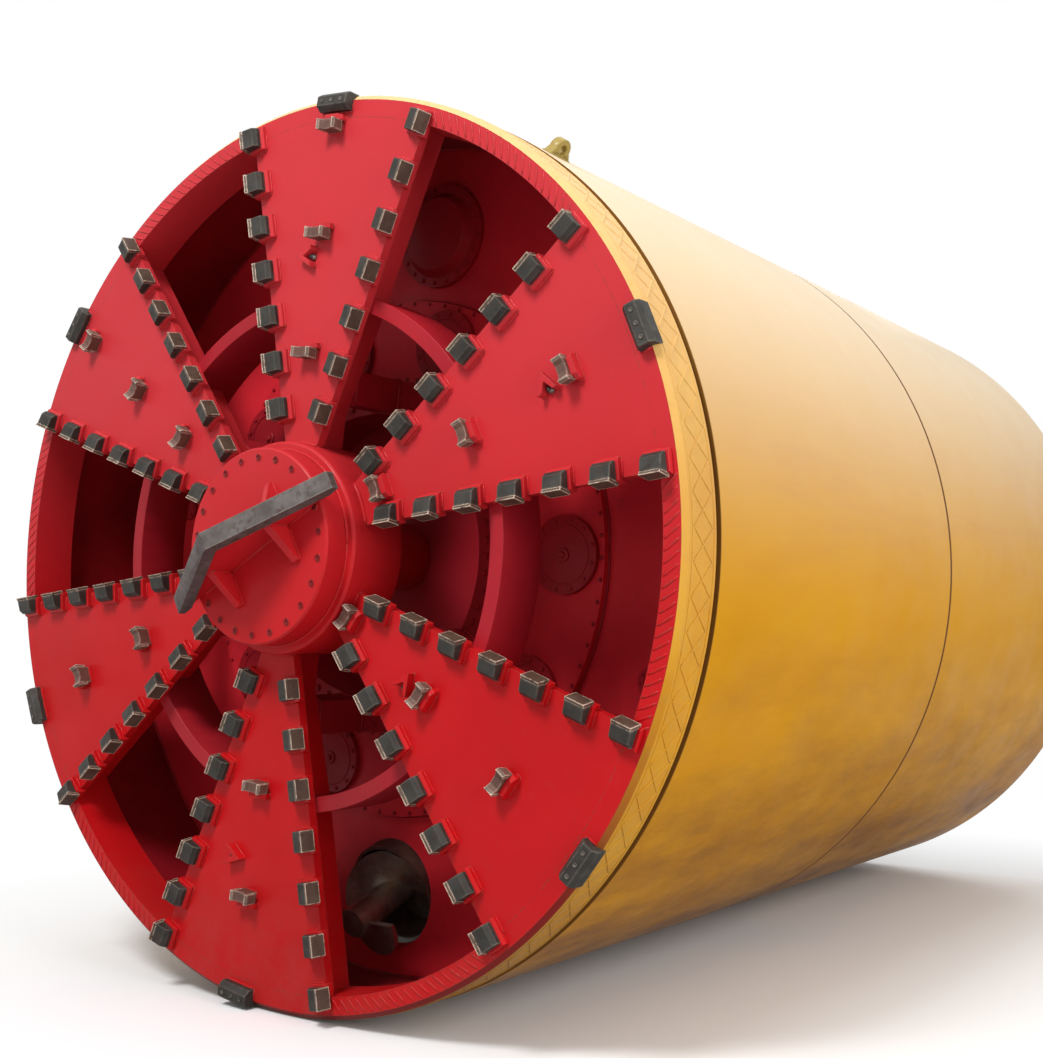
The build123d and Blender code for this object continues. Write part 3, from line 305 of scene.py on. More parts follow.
def casing_paint(name):
    """The screw conveyor's casing: painted grey outside, and darkened inside and at its mouth with painted shade."""
    s = Surface(name)
    mouth = (0, FACE_Y + BULKHEAD_DEPTH, AXIS_Z - SCREW_DROP)
    uphill = (0, math.cos(SCREW_SLOPE), math.sin(SCREW_SLOPE))
    offset = s.add("VectorMath", {0: s.add("TexCoord").outputs["Object"], 1: mouth}, operation="SUBTRACT")
    aside = s.add("VectorMath", {0: offset.outputs["Vector"], 1: uphill}, operation="CROSS_PRODUCT")
    away = s.add("VectorMath", {0: aside.outputs["Vector"]}, operation="LENGTH").outputs["Value"]
    grey = s.layers((0.42, 0.42, 0.38), (s.patches(0.9, 5.0, 0.35, 0.68), (0.36, 0.36, 0.32)),
                    (s.patches(14.0, 6.0, 0.54, 0.80, 0.3, 0.65), (0.24, 0.20, 0.15)))
    # dark inside the casing and at its mouth: painted shade, in patches of brown
    painted_inner_shade = s.mix(s.patches(5.0, 7.0, 0.40, 0.64, 1.0, 0.65), (0.050, 0.022, 0.018), (0.105, 0.060, 0.045))
    outer = s.times(s.remap(away, CASING_R - 0.012, CASING_R - 0.006),
                    s.behind(BULKHEAD_DEPTH + 0.062, BULKHEAD_DEPTH + 0.068))
    return s.finish(s.mix(outer, painted_inner_shade, grey), s.gloss(0.38, 0.60), s.noise(60.0, 4.0), 0.12, 0.002, {SPECULAR: 0.3})


def bulkhead_paint(name):
    """The bulkhead: the chamber's red painted lighter in front as painted light, and the machine room's white behind.
    """
    s = Surface(name)
    grime = s.times(s.above(2.6, 0.4), s.patches(4.0, 8.0, 0.42, 0.66, 1.0, 0.7))
    # the chamber's red, painted much lighter than the chamber's own paint: painted light on the bulkhead
    red = s.layers((0.72, 0.026, 0.040), (s.patches(1.1, 6.0, 0.35, 0.68), (0.54, 0.019, 0.030)),
                   (s.patches(14.0, 6.0, 0.56, 0.80, 0.30, 0.65), (0.12, 0.03, 0.025)))
    white = s.layers((0.66, 0.66, 0.62), (s.patches(1.3, 7.0, 0.36, 0.68), (0.54, 0.53, 0.49)),
                     (grime, (0.27, 0.21, 0.15)))
    base = s.mix(s.behind(BULKHEAD_DEPTH + 0.062, BULKHEAD_DEPTH + 0.068), red, white)
    return s.finish(base, s.gloss(0.34, 0.54), s.noise(90.0, 3.0), 0.05, 0.002, {SPECULAR: 0.14})


def band_paint(name):
    """The wear band's yellow: paler on top as a painted highlight, with painted shade darkening it low down and
    turning its front edge dark red there.
    """
    s = Surface(name)
    base = s.layers(
        (0.600, 0.300, 0.020),
        (s.patches(1.4, 7.0, 0.36, 0.66, 1.0, 0.6), (0.520, 0.225, 0.008)),
        # paler towards the top: a painted highlight of the sky's reflection
        (s.above(2.0, 6.3, 0.65, True), (0.82, 0.60, 0.33)),
        (s.patches(16.0, 6.0, 0.50, 0.78, 0.35, 0.65), (0.40, 0.26, 0.07)),
        # darker brown towards the bottom: painted shade
        (s.above(1.7, 0.3, 0.75), (0.20, 0.085, 0.018)),
        # dark red on the front edge's chamfer low down: painted shade
        (s.times(s.behind(0.040, 0.028), s.above(2.4, 1.0)), (0.20, 0.012, 0.010)),
    )
    return s.finish(base, s.gloss(0.40, 0.60, 5.0), s.noise(60.0, 4.0), 0.12, 0.003,
                    {SPECULAR: 0.12, "Sheen Weight": 0.08, "Sheen Roughness": 0.35})


# the last colour is the painted highlight that makes the red paler towards the top
RED = paint("red_paint", (0.520, 0.006, 0.009), (0.460, 0.005, 0.007), (0.38, 0.038, 0.032), 0.38, 0.04, 1.0, 0.14,
            (0.22, 0.04, 0.028), (0.54, 0.046, 0.058))
# a darker copy of the red: painted shade on the hub cover's screws, and the lock door wheel's own dark red
DARK_RED_AND_SHADE = paint("dark_red_and_painted_shade", (0.20, 0.005, 0.008), (0.14, 0.004, 0.006), (0.10, 0.015, 0.012), 0.5, 0.0, 1.0, 0.2)
SHELL = shell_paint("shell_paint")
BAND = band_paint("band_paint")
CHAMBER = paint("chamber_paint", (0.40, 0.014, 0.024), (0.28, 0.011, 0.018), (0.12, 0.03, 0.025), 0.42, 0.04, 2.0,
                0.14)
BULKHEAD = bulkhead_paint("bulkhead_paint")
CASING = casing_paint("casing_paint")
WHITE = paint("white_paint", (0.70, 0.71, 0.68), (0.62, 0.63, 0.60), (0.36, 0.33, 0.28), 0.38, 0.2, 1.2,
              chips=(0.30, 0.28, 0.25))
BLUE = paint("motor_paint", (0.055, 0.13, 0.25), (0.04, 0.10, 0.20), (0.14, 0.14, 0.14), 0.4, 0.2, 1.2,
             chips=(0.3, 0.3, 0.3))
ORANGE = paint("jack_paint", (0.62, 0.26, 0.02), (0.52, 0.20, 0.015), (0.26, 0.16, 0.08), 0.38, 0.2, 1.2,
               chips=(0.3, 0.27, 0.22))
GREY = paint("screw_paint", (0.42, 0.42, 0.38), (0.36, 0.36, 0.32), (0.24, 0.20, 0.15), 0.42, 0.15, 1.2,
             chips=(0.26, 0.24, 0.20))
OLIVE = paint("lug_paint", (0.34, 0.24, 0.04), (0.26, 0.18, 0.03), (0.20, 0.13, 0.05), 0.45, 0.1, 0.4)
CUTTER = steel("cutter_steel", (0.020, 0.018, 0.015), (0.046, 0.042, 0.036), 0.52, 0.1, 60.0, 0.35,
               (0.040, 0.020, 0.012), (0.17, 0.15, 0.12), 0.3)
KNIFE = steel("knife_steel", (0.120, 0.104, 0.098), (0.060, 0.046, 0.042), 0.52, 0.1, 50.0, 0.3,
              (0.050, 0.025, 0.016), (0.24, 0.21, 0.18), 0.3)
BLADE = steel("blade_steel", (0.062, 0.036, 0.025), (0.100, 0.062, 0.043), 0.48, 0.1, 60.0, 0.25,
              (0.060, 0.026, 0.015), (0.78, 0.62, 0.48), 0.3)
BIT = steel("bit_steel", (0.085, 0.035, 0.024), (0.13, 0.060, 0.042), 0.54, 0.1, 60.0, 0.35, (0.12, 0.035, 0.018),
            (0.45, 0.30, 0.24))
TIP = steel("tip_steel", (0.155, 0.105, 0.078), (0.105, 0.064, 0.046), 0.46, 0.1, 60.0, 0.2, None,
            (0.76, 0.60, 0.48), 0.4)
WORN = steel("worn_steel", (0.34, 0.29, 0.24), (0.22, 0.17, 0.13), 0.38, 0.8, 40.0, 0.3, (0.26, 0.12, 0.05))
CHROME = steel("rod_chrome", (0.74, 0.74, 0.76), (0.69, 0.69, 0.71), 0.26, 1.0, 20.0, 0.006)
PAD = steel("shoe_pad", (0.05, 0.05, 0.05), (0.075, 0.07, 0.065), 0.62, 0.1, 70.0, 0.4)
RUBBER = steel("flap_rubber", (0.018, 0.018, 0.019), (0.030, 0.029, 0.028), 0.55, 0.0, 160.0, 0.3)
WIRE = steel("seal_wire", (0.20, 0.19, 0.18), (0.12, 0.115, 0.11), 0.45, 0.8, 140.0, 0.6, (0.20, 0.12, 0.07))
BOLT = steel("bolt_steel", (0.25, 0.24, 0.22), (0.16, 0.15, 0.14), 0.4, 0.8, 90.0, 0.2, (0.20, 0.10, 0.05))
BRASS = steel("fitting_brass", (0.52, 0.38, 0.14), (0.40, 0.28, 0.10), 0.34, 0.9, 90.0, 0.12, (0.22, 0.14, 0.06))

SLOT_MATERIALS = {
    "paint_red": RED, "chamber_red": CHAMBER, "cutter_steel": CUTTER, "blade_steel": BLADE, "bit_brown": BIT,
    "tip_steel": TIP, "drive_paint": WHITE, "motor_paint": BLUE, "jack_paint": ORANGE, "rod_chrome": CHROME,
    "shoe_pad": PAD, "screw_paint": GREY, "worn_steel": WORN, "seal_wire": WIRE, "door_paint": WHITE,
}
OWN_MATERIALS = {
    "lifting_lugs": OLIVE, "wear_band": BAND, "front_shield": SHELL, "tail_shield": SHELL, "bulkhead": BULKHEAD,
    "knife_edges": KNIFE, "screw_casing": CASING,
}
for part in frame["record"]["subparts"]:
    material = OWN_MATERIALS.get(part["node"]) or SLOT_MATERIALS[part["material_slot"]]
    for place in frame["nodes"][part["node"]].material_slots:
        place.material = material

# A small rounding, by its width, on the edges of what is cut or cast from plate
ROUNDED = {
    0.010: ["hub"],
    0.008: ["knife_edges", "gauge_cutters", "erector_head", "drive_motors", "screw_drive", "support_legs"],
    0.006: ["edge_scrapers", "cutter_holders", "hatch_cover", "lifting_lugs", "erector_frame", "middle_ring"],
    0.005: ["hub_cover", "pilot_bits", "pinion_covers"],
    0.004: ["centre_knife", "jack_girders"],
    0.003: ["scraper_blades", "pilot_tips"],
}
for width, names in ROUNDED.items():
    for name in names:
        modifiers = frame["nodes"][name].modifiers
        modifiers.new("join", "WELD").merge_threshold = 0.0001
        rounding = modifiers.new("rounding", "BEVEL")
        rounding.width = width
        rounding.segments = 2
        rounding.limit_method = "ANGLE"
        rounding.angle_limit = math.radians(32)
        rounding.harden_normals = True

# Places and directions
FRONT = Vector((0, -1, 0))
BACK = Vector((0, 1, 0))


def outward(angle):
    """The unit vector along a radius."""
    a = math.radians(angle)
    return Vector((math.cos(a), 0, math.sin(a)))


def around(angle):
    """The unit vector round the axis, towards greater angles."""
    a = math.radians(angle)
    return Vector((-math.sin(a), 0, math.cos(a)))


def between(a, b):
    """The direction halfway between two."""
    return (a + b).normalized()


def front_corner(angle):
    """The direction halfway between the front and outward."""
    return between(FRONT, outward(angle))


def axis_at(depth):
    """The point of the machine's axis at a depth."""
    return Vector((0, FACE_Y + depth, AXIS_Z))


def at(radius, angle, depth):
    """A point by its radius and angle round the machine's axis, and its depth."""
    return axis_at(depth) + outward(angle) * radius


def outline(radius, angle, depth, pairs):
    """Points round such a point, by how far they are outward and beside it."""
    return [at(radius, angle, depth) + outward(angle) * a + around(angle) * b for a, b in pairs]


def shifted(matrix, x, y, z):
    """A matrix moved along its own axes."""
    return matrix @ Matrix.Translation((x, y, z))


def facing_front(point, turn=0.0):
    """A matrix at a point whose z looks out of the face (-Y)."""
    return Matrix.Translation(point) @ Matrix.Rotation(math.pi / 2, 4, "X") @ Matrix.Rotation(turn, 4, "Z")


def facing_back(point, turn=0.0):
    """A matrix at a point whose z looks back along the machine (+Y)."""
    return Matrix.Translation(point) @ Matrix.Rotation(-math.pi / 2, 4, "X") @ Matrix.Rotation(turn, 4, "Z")


def facing(point, direction):
    """A matrix at a point whose z looks along a direction."""
    return Matrix.Translation(point) @ direction.to_track_quat("Z", "Y").to_matrix().to_4x4()


def circle(middle, radius, count, first=0.0):
    """Points round a point, parallel to the face."""
    return [middle + outward(first + 360 / count * k) * radius for k in range(count)]


def places_round(base, radius, count, rise=0.0, first=0.0, turned=False):
    """Matrices on a circle round a matrix's z, looking as it does or each turned with its place."""
    angles = [math.radians(first + 360 / count * k) for k in range(count)]
    if turned:
        return [shifted(base @ Matrix.Rotation(a, 4, "Z"), radius, 0, rise) for a in angles]
    return [shifted(base, radius * math.cos(a), radius * math.sin(a), rise) for a in angles]


def from_panel(angle):
    """The angle to the nearest panel's centre line."""
    return min(abs((angle - middle + 180) % 360 - 180) for middle in PANEL_ANGLES)


def panel_edge(radius):
    """Where a panel's edge meets a circle about the axis: along and beside the panel's centre line."""
    rise = math.tan(PANEL_HALF_ANGLE)
    drop = PANEL_EDGE_INSET / math.cos(PANEL_HALF_ANGLE)
    k = 1 + rise * rise
    x = (rise * drop + math.sqrt(k * radius * radius - drop * drop)) / k
    return x, rise * x - drop


def spaced(a, b, step):
    """Points from a to b about a step apart."""
    count = max(2, round((b - a).length / step))
    return [a.lerp(b, i / count) for i in range(count + 1)]


# Mesh helpers
# every piece that is started below, and the slot that goes with its material
PIECES = []
PIECE_SLOTS = {
    RED: "paint_red", DARK_RED_AND_SHADE: "paint_red", BAND: "paint_yellow", OLIVE: "paint_yellow", CHAMBER: "chamber_red",
    CUTTER: "cutter_steel", BOLT: "cutter_steel", RUBBER: "cutter_steel", BRASS: "cutter_steel",
    WHITE: "drive_paint", BLUE: "motor_paint", ORANGE: "jack_paint", PAD: "shoe_pad", GREY: "screw_paint",
    WIRE: "seal_wire",
}


def piece(name, material, body, smooth=True, slot=None):
    """Starts a mesh that rides on a CAD body. It is filled below and made into an object at the end."""
    bm = bmesh.new()
    PIECES.append((name, bm, material, body, smooth, slot or PIECE_SLOTS[material]))
    return bm


def add_object(name, data):
    """A new object in the scene."""
    obj = bpy.data.objects.new(name, data)
    bpy.context.scene.collection.objects.link(obj)
    return obj


def mesh_from(name, bm, material):
    """The finished mesh of a piece."""
    mesh = bpy.data.meshes.new(name)
    bm.to_mesh(mesh)
    bm.free()
    mesh.materials.append(material)
    return mesh


def add_strips(bm, rows, capped=True, joined=False):
    """Faces between rows of points, each row a closed loop; the last row may join the first."""
    rows = [[bm.verts.new(point) for point in row] for row in rows]
    pairs = list(zip(rows, rows[1:]))
    if joined:
        pairs.append((rows[-1], rows[0]))
    for first, second in pairs:
        for j in range(len(first)):
            k = (j + 1) % len(first)
            bm.faces.new((first[j], first[k], second[k], second[j]))
    if capped:
        bm.faces.new(rows[0][::-1])
        bm.faces.new(rows[-1])


def turns(sides):
    """The cosine and sine of each corner's angle on a circle."""
    angles = [2 * math.pi * i / sides for i in range(sides)]
    return [(math.cos(a), math.sin(a)) for a in angles]


def add_lathe(bm, matrix, levels, sides):
    """A closed turned solid from (radius, height) levels."""
    add_strips(bm, [[matrix @ Vector((r * c, r * s, z)) for c, s in turns(sides)] for r, z in levels])


def add_ring(bm, matrix, section, sides):
    """A ring turned round z from a closed (radius, height) section."""
    rows = [[matrix @ Vector((r * c, r * s, z)) for r, z in section] for c, s in turns(sides)]
    add_strips(bm, rows, False, True)


def add_collar(bm, matrix, inner, outer, low, high, slope, sides):
    """A ring round a cylinder whose inner edge is a little higher than its outer one."""
    add_ring(bm, matrix, [(inner, low), (outer, low), (outer, high), (inner, high + slope)], sides)


def add_bolt(bm, matrix, radius, rise, washer=1.4, chamfer=0.15):
    """A hexagon bolt head with a chamfered top, and a washer under it unless that is 0."""
    if washer:
        add_lathe(bm, matrix, [(radius * washer, 0.0), (radius * washer, rise * 0.18)], 14)
    add_lathe(bm, matrix, [(radius, 0.0), (radius, rise * (1 - chamfer)), (radius * (1 - chamfer), rise)], 6)


def add_bolts(bm, way, middle, radius, count, first, size, rise, washer=1.4, turn=1.0, wanted=None):
    """Bolts on a circle, facing one of two ways, each turned a little more than the last."""
    for i, spot in enumerate(circle(middle, radius, count, first)):
        if wanted is None or wanted(first + 360 / count * i):
            add_bolt(bm, way(spot, i * turn), size, rise, washer)


def add_socket_bolt(bm, matrix, radius, rise):
    """A cap screw: a round head with a hollow in its top."""
    add_lathe(bm, matrix, [(radius, 0.0), (radius, rise * 0.85), (radius * 0.86, rise), (radius * 0.58, rise),
                           (radius * 0.5, rise * 0.35)], 14)


def add_block(bm, matrix, size, chamfer=0.12):
    """A block centred on x and y that stands on z = 0, with its upper edges chamfered."""
    x, y, z = size[0] / 2, size[1] / 2, size[2]
    c = min(x, y, z) * chamfer
    rows = []
    for inset, level in ((0.0, 0.0), (0.0, z - c), (c, z)):
        u, v = x - inset, y - inset
        rows.append([matrix @ Vector((a, b, level)) for a, b in ((-u, -v), (u, -v), (u, v), (-u, v))])
    add_strips(bm, rows)


def add_tube(bm, path, radius, closed=False):
    """An eight-sided tube along a path, its ends capped unless it closes on itself."""
    rows = []
    side = None
    last = len(path) - 1
    for i, point in enumerate(path):
        if closed:
            ahead = (path[(i + 1) % len(path)] - path[i - 1]).normalized()
        else:
            ahead = (path[min(i + 1, last)] - path[max(i - 1, 0)]).normalized()
        if side is None:
            side = ahead.orthogonal().normalized()
        side = (side - ahead * side.dot(ahead)).normalized()
        up = ahead.cross(side)
        rows.append([point + (side * c + up * s) * radius for c, s in turns(8)])
    add_strips(bm, rows, not closed, closed)


def add_bead(bm, points, normals, width, rise):
    """A weld bead laid along points on a surface, rounded on top, with uneven width; its underside is sunk."""
    ripple, sink, tip = 0.12, 0.002, 0.55
    shoulder_out, shoulder_up = 0.62, 0.72
    rows = []
    last = len(points) - 1
    for i, (point, normal) in enumerate(zip(points, normals)):
        ahead = points[min(i + 1, last)] - points[max(i - 1, 0)]
        side = ahead.normalized().cross(normal).normalized()
        size = (1.0 + random.uniform(-ripple, ripple)) * (tip if i in (0, last) else 1.0)
        edge, top, foot = side * width / 2 * size, normal * rise * size, normal * sink
        out, up = edge * shoulder_out, top * shoulder_up
        rows.append([point - edge - foot, point - out + up, point + top, point + out + up, point + edge - foot])
    add_strips(bm, rows)


def bead_line(bm, corners, normal, width, rise, step=0.03):
    """A weld bead along straight runs between corners."""
    for a, b in zip(corners, corners[1:]):
        points = spaced(a, b, step)
        add_bead(bm, points, [normal] * len(points), width, rise)


def bead_arc(bm, radius, start, end, depth, normal_of, width, rise, step=0.03):
    """A weld bead round the axis between two angles, its normal given by a function of the angle."""
    count = max(2, round(radius * math.radians(abs(end - start)) / step))
    angles = [start + (end - start) * i / count for i in range(count + 1)]
    add_bead(bm, [at(radius, a, depth) for a in angles], [normal_of(a) for a in angles], width, rise)


# Hard-facing on the rim's face: short diagonal beads between the panels
FACE_BEADS, FACE_BEAD_TURN, FACE_BEAD_LENGTH = 270, 1.5, 0.104
x, y = panel_edge(FACE_R)
panel_span = math.degrees(math.atan2(y, x))
bm = piece("rim_face_beads", RED, "cutterhead")
for i in range(FACE_BEADS):
    start = 360 / FACE_BEADS * i
    if from_panel(start + FACE_BEAD_TURN / 2) >= panel_span:
        points = [at(FACE_R - 0.112 + FACE_BEAD_LENGTH * t, start + FACE_BEAD_TURN * t, 0)
                  for t in (0, 0.25, 0.5, 0.75, 1.0)]
        add_bead(bm, points, [FRONT] * 5, 0.020, 0.006)

# Hard-facing round the wear band: crossed zigzags between two straight beads
BAND_DIAMONDS = 50
BAND_FRONT, BAND_REAR = 0.085, 0.300
bm = piece("wear_band_beads", BAND, "cutterhead")
for i in range(BAND_DIAMONDS):
    for depths in ((BAND_FRONT, BAND_REAR), (BAND_REAR, BAND_FRONT)):
        for half, (d0, d1) in enumerate((depths, depths[::-1])):
            a0 = 360 / BAND_DIAMONDS * (i + half / 2)
            span = 180 / BAND_DIAMONDS
            spots = [(a0 + span * k / 8, d0 + (d1 - d0) * k / 8) for k in range(9)]
            add_bead(bm, [at(BAND_R, a, d) for a, d in spots], [outward(a) for a, d in spots], 0.016, 0.006)
for depth in (BAND_FRONT - 0.018, BAND_REAR + 0.018):
    bead_arc(bm, BAND_R, 0, 360, depth, outward, 0.014, 0.005, 0.06)

# Welds of the panels to the hub, and down the hub's inside corners beside each opening
bm = piece("panel_welds", RED, "cutterhead")
half = math.degrees(math.asin(panel_edge(HUB_R)[1] / HUB_R))
for angle in PANEL_ANGLES:
    bead_arc(bm, HUB_R + 0.004, angle - half, angle + half, -0.003, front_corner, 0.030, 0.014)
    for side in (-1, 1):
        turn = angle + side * half
        foot = at(HUB_R, turn, 0)
        bead_line(bm, [foot + BACK * 0.005, foot + BACK * 0.065], between(outward(turn), around(turn) * side),
                  0.022, 0.012, 0.02)

# Welds round the cutters' holders on the face
SCRAPERS_IN_ROW = 7
SCRAPER_INNER = HUB_R + 0.241
SCRAPER_PITCH = (RIM_INNER - SCRAPER_INNER) / (SCRAPERS_IN_ROW - 1)
HOLDER_HALF, HOLDER_REACH = 0.091, 0.122
# the pilot bits' radii on each panel, as shares of the face's radius
PILOT_SHARES = [
    (0.300, 0.556, 0.820),
    (0.435, 0.701, 0.941),
    (0.452, 0.671, 0.908),
    (0.528, 0.780),
    (0.532, 0.776),
    (0.252, 0.511, 0.770),
]
# the outline of a pilot bit's base, outward and beside its centre line
PILOT_BASE = [(-0.038, -0.064), (-0.038, 0.064), (0.034, 0.064), (0.034, 0.088), (0.078, 0.088), (0.078, -0.088),
              (0.034, -0.088), (0.034, -0.064), (-0.038, -0.064)]
bm = piece("holder_welds", RED, "cutterhead")
for angle in PANEL_ANGLES:
    for side in (-1, 1):
        e = angle + side * math.degrees(PANEL_HALF_ANGLE)
        u, inward = outward(e), -around(e) * side
        for i in range(SCRAPERS_IN_ROW):
            x, y = panel_edge(RIM_INNER - SCRAPER_PITCH * i)
            seat = axis_at(0) + outward(angle) * x + around(angle) * (side * y)
            # the outermost holder's outer side lies against the rim
            outer = HOLDER_HALF if i else 0.030
            corners = [seat - u * HOLDER_HALF + inward * 0.004, seat - u * HOLDER_HALF + inward * HOLDER_REACH,
                       seat + u * outer + inward * HOLDER_REACH]
            if i:
                corners.append(seat + u * HOLDER_HALF + inward * 0.004)
            bead_line(bm, corners, FRONT, 0.018, 0.009)
for angle, shares in zip(PANEL_ANGLES, PILOT_SHARES):
    for share in shares:
        bead_line(bm, outline(share * FACE_R, angle, 0, PILOT_BASE), FRONT, 0.014, 0.008, 0.025)

# Foam nozzles inside their guards: a steel seat with a rubber flap held by a cap
NOZZLES = [(0.652, 85.1), (0.768, 21.9), (0.460, 320.7), (0.701, 257.5)]
bm = piece("foam_nozzles", BOLT, "cutterhead")
caps = piece("foam_nozzle_flaps", RUBBER, "cutterhead")
for share, angle in NOZZLES:
    spot = at(share * FACE_R, angle, 0) - around(angle) * 0.034
    add_lathe(bm, facing_front(spot), [(0.024, -0.001), (0.024, 0.010), (0.019, 0.016), (0.019, 0.024),
                                       (0.015, 0.028)], 18)
    add_lathe(caps, facing_front(spot + FRONT * 0.028), [(0.015, -0.001), (0.013, 0.008), (0.006, 0.012)], 14)

# Guard welds
bm = piece("guard_welds", RED, "cutterhead")
for share, angle in NOZZLES:
    for flip in (-1, 1):
        corners = outline(share * FACE_R, angle, 0, [(0, 0.087), (flip * 0.080, -0.056), (flip * 0.043, -0.059)])
        bead_line(bm, corners, FRONT, 0.014, 0.008, 0.02)

# Knife welds on the cover, and those of its gussets
KNIFE_ANGLE = 28
u, v = outward(KNIFE_ANGLE), around(KNIFE_ANGLE)
bm = piece("knife_welds", RED, "cutterhead")
for flip in (-1, 1):
    for ends in ((-0.590, -0.337), (-0.283, 0.283), (0.337, 0.590)):
        points = outline(0, KNIFE_ANGLE, -COVER_PROUD, [(a, flip * 0.042) for a in ends])
        bead_line(bm, points, between(FRONT, v * flip), 0.020, 0.010)
    for gusset in (-0.310, 0.310):
        for side in (-1, 1):
            foot, near, far = outline(0, KNIFE_ANGLE, -COVER_PROUD,
                                      [(gusset + side * 0.027, flip * b) for b in (0.043, 0.050, 0.300)])
            bead_line(bm, [near, far], between(FRONT, u * side), 0.018, 0.009)
            bead_line(bm, [foot, foot + FRONT * 0.180], between(v * flip, u * side), 0.016, 0.008)

# Cap screws round the hub cover, in a darker red that is painted shade, with rims of the face's red, and the cover's
# weld
COVER_SCREWS = 22
bm = piece("hub_cover_bolts", DARK_RED_AND_SHADE, "cutterhead")
rims = piece("hub_cover_bolt_rims", RED, "cutterhead")
for spot in circle(axis_at(-COVER_PROUD), COVER_R - 0.070, COVER_SCREWS, 0.4 * 360 / COVER_SCREWS):
    add_socket_bolt(bm, facing_front(spot), 0.022, 0.006)
    add_ring(rims, facing_front(spot), [(0.021, -0.001), (0.030, -0.001), (0.028, 0.004), (0.023, 0.004)], 18)
bm = piece("hub_weld", RED, "cutterhead")
bead_arc(bm, COVER_R + 0.003, 0, 360, -HUB_PROUD - 0.002, front_corner, 0.022, 0.011)

# Screws through the gauge cutters into the rim, and the cutters' welds on its face
GAUGE_HALF = 0.143
bm = piece("gauge_cutter_screws", CUTTER, "cutterhead")
welds = piece("gauge_cutter_welds", RED, "cutterhead")
near, far = FACE_R - 0.010, SHIELD_R - 0.125
for angle in PANEL_ANGLES:
    for spot in outline(SHIELD_R - 0.054, angle, -0.0805, [(0, -0.090), (0, 0), (0, 0.090)]):
        add_socket_bolt(bm, facing_front(spot), 0.015, 0.006)
    corners = outline(0, angle, 0, [(near, -GAUGE_HALF), (far, -GAUGE_HALF), (far, GAUGE_HALF), (near, GAUGE_HALF)])
    bead_line(welds, corners, FRONT, 0.020, 0.010)

# Bolts on the drive drum's front, clear of the legs
LEG_SPAN = 9
bm = piece("drum_flange_bolts", CHAMBER, "cutterhead", False)
for radius in (DRUM_R - 0.050, DRUM_R - 0.195):
    add_bolts(bm, facing_front, axis_at(DRUM_FRONT), radius, 60, 3, 0.024, 0.022, 1.35, 0.9,
              lambda a: from_panel(a) >= LEG_SPAN)

# Welds of the legs, at the spokes and at the drum
LEG_R = DRUM_R - 0.130
LEG_FOOT = [(-0.124, -0.129), (0.124, -0.129), (0.124, 0.129), (-0.124, 0.129), (-0.124, -0.129)]
bm = piece("leg_welds", CHAMBER, "cutterhead")
for angle in PANEL_ANGLES:
    for depth, way in ((RIM_BACK + 0.003, BACK), (DRUM_FRONT - 0.003, FRONT)):
        bead_line(bm, outline(LEG_R, angle, depth, LEG_FOOT), way, 0.026, 0.013)

# Bulkhead: bolts and sealing rings on the pinion covers, bolts on the bearing ring, its weld and the shell's
PINIONS, FIRST_PINION = 10, 358
COVER_CIRCLE = (BEARING_RING_R + DRUM_R + 0.012) / 2
PINION_R = (BEARING_RING_R - DRUM_R - 0.012) / 2 - 0.039
COVER_BOSS = [(0.050, -0.001), (0.050, 0.010), (0.044, 0.014), (0.024, 0.014), (0.022, 0.026), (0.016, 0.030)]
bm = piece("pinion_cover_bolts", CHAMBER, "shield", False)
for i in range(PINIONS):
    angle = FIRST_PINION + 360 / PINIONS * i
    middle = at(COVER_CIRCLE, angle, COVER_DEPTH)
    base = facing_front(middle, math.radians(angle))
    add_bolts(bm, facing_front, middle, PINION_R - 0.030, 12, 15, 0.014, 0.013, 1.4, 0.6)
    add_ring(bm, base, [(PINION_R - 0.075, -0.001), (PINION_R - 0.058, -0.001), (PINION_R - 0.062, 0.006),
                        (PINION_R - 0.071, 0.006)], 56)
    add_lathe(bm, base, COVER_BOSS, 20)

bm = piece("bearing_ring_bolts", CHAMBER, "shield", False)
add_bolts(bm, facing_front, axis_at(BEARING_RING_DEPTH), BEARING_RING_R - 0.022, 80, 2, 0.012, 0.012)
add_bolts(bm, facing_front, axis_at(BEARING_RING_DEPTH), DRUM_R + 0.035, 80, 2, 0.011, 0.010)

# the mixing bars on the bulkhead, by their share of the shield's radius and their angle
MIXING_BARS = [(0.68, 190), (0.835, 310), (0.68, 45)]
bm = piece("bulkhead_welds", CHAMBER, "shield")
bead_arc(bm, BEARING_RING_R + 0.003, 0, 360, BULKHEAD_DEPTH - 0.003, front_corner, 0.026, 0.013, 0.05)
bead_arc(bm, SHELL_INNER - 0.003, 0, 360, BULKHEAD_DEPTH - 0.003, lambda a: front_corner(a + 180), 0.030, 0.015, 0.06)
for share, angle in MIXING_BARS:
    middle = at(share * SHIELD_R, angle, BULKHEAD_DEPTH)
    ring = circle(middle, 0.083, 24)
    ring.append(ring[0])
    add_bead(bm, ring, [between(FRONT, (p - middle).normalized()) for p in ring], 0.022, 0.011)

# Hatch: clamp screws round its rim; earth pressure sensors and injection ports on the bulkhead
HATCH_LOW, HATCH_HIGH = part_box("hatch_cover")
HATCH_MIDDLE = (HATCH_LOW + HATCH_HIGH) / 2
HATCH_MIDDLE.y = FACE_Y + BULKHEAD_DEPTH - 0.045
bm = piece("hatch_bolts", CHAMBER, "shield", False)
add_bolts(bm, facing_front, HATCH_MIDDLE, radius_across("hatch_cover") - 0.033, 20, 9, 0.016, 0.015)

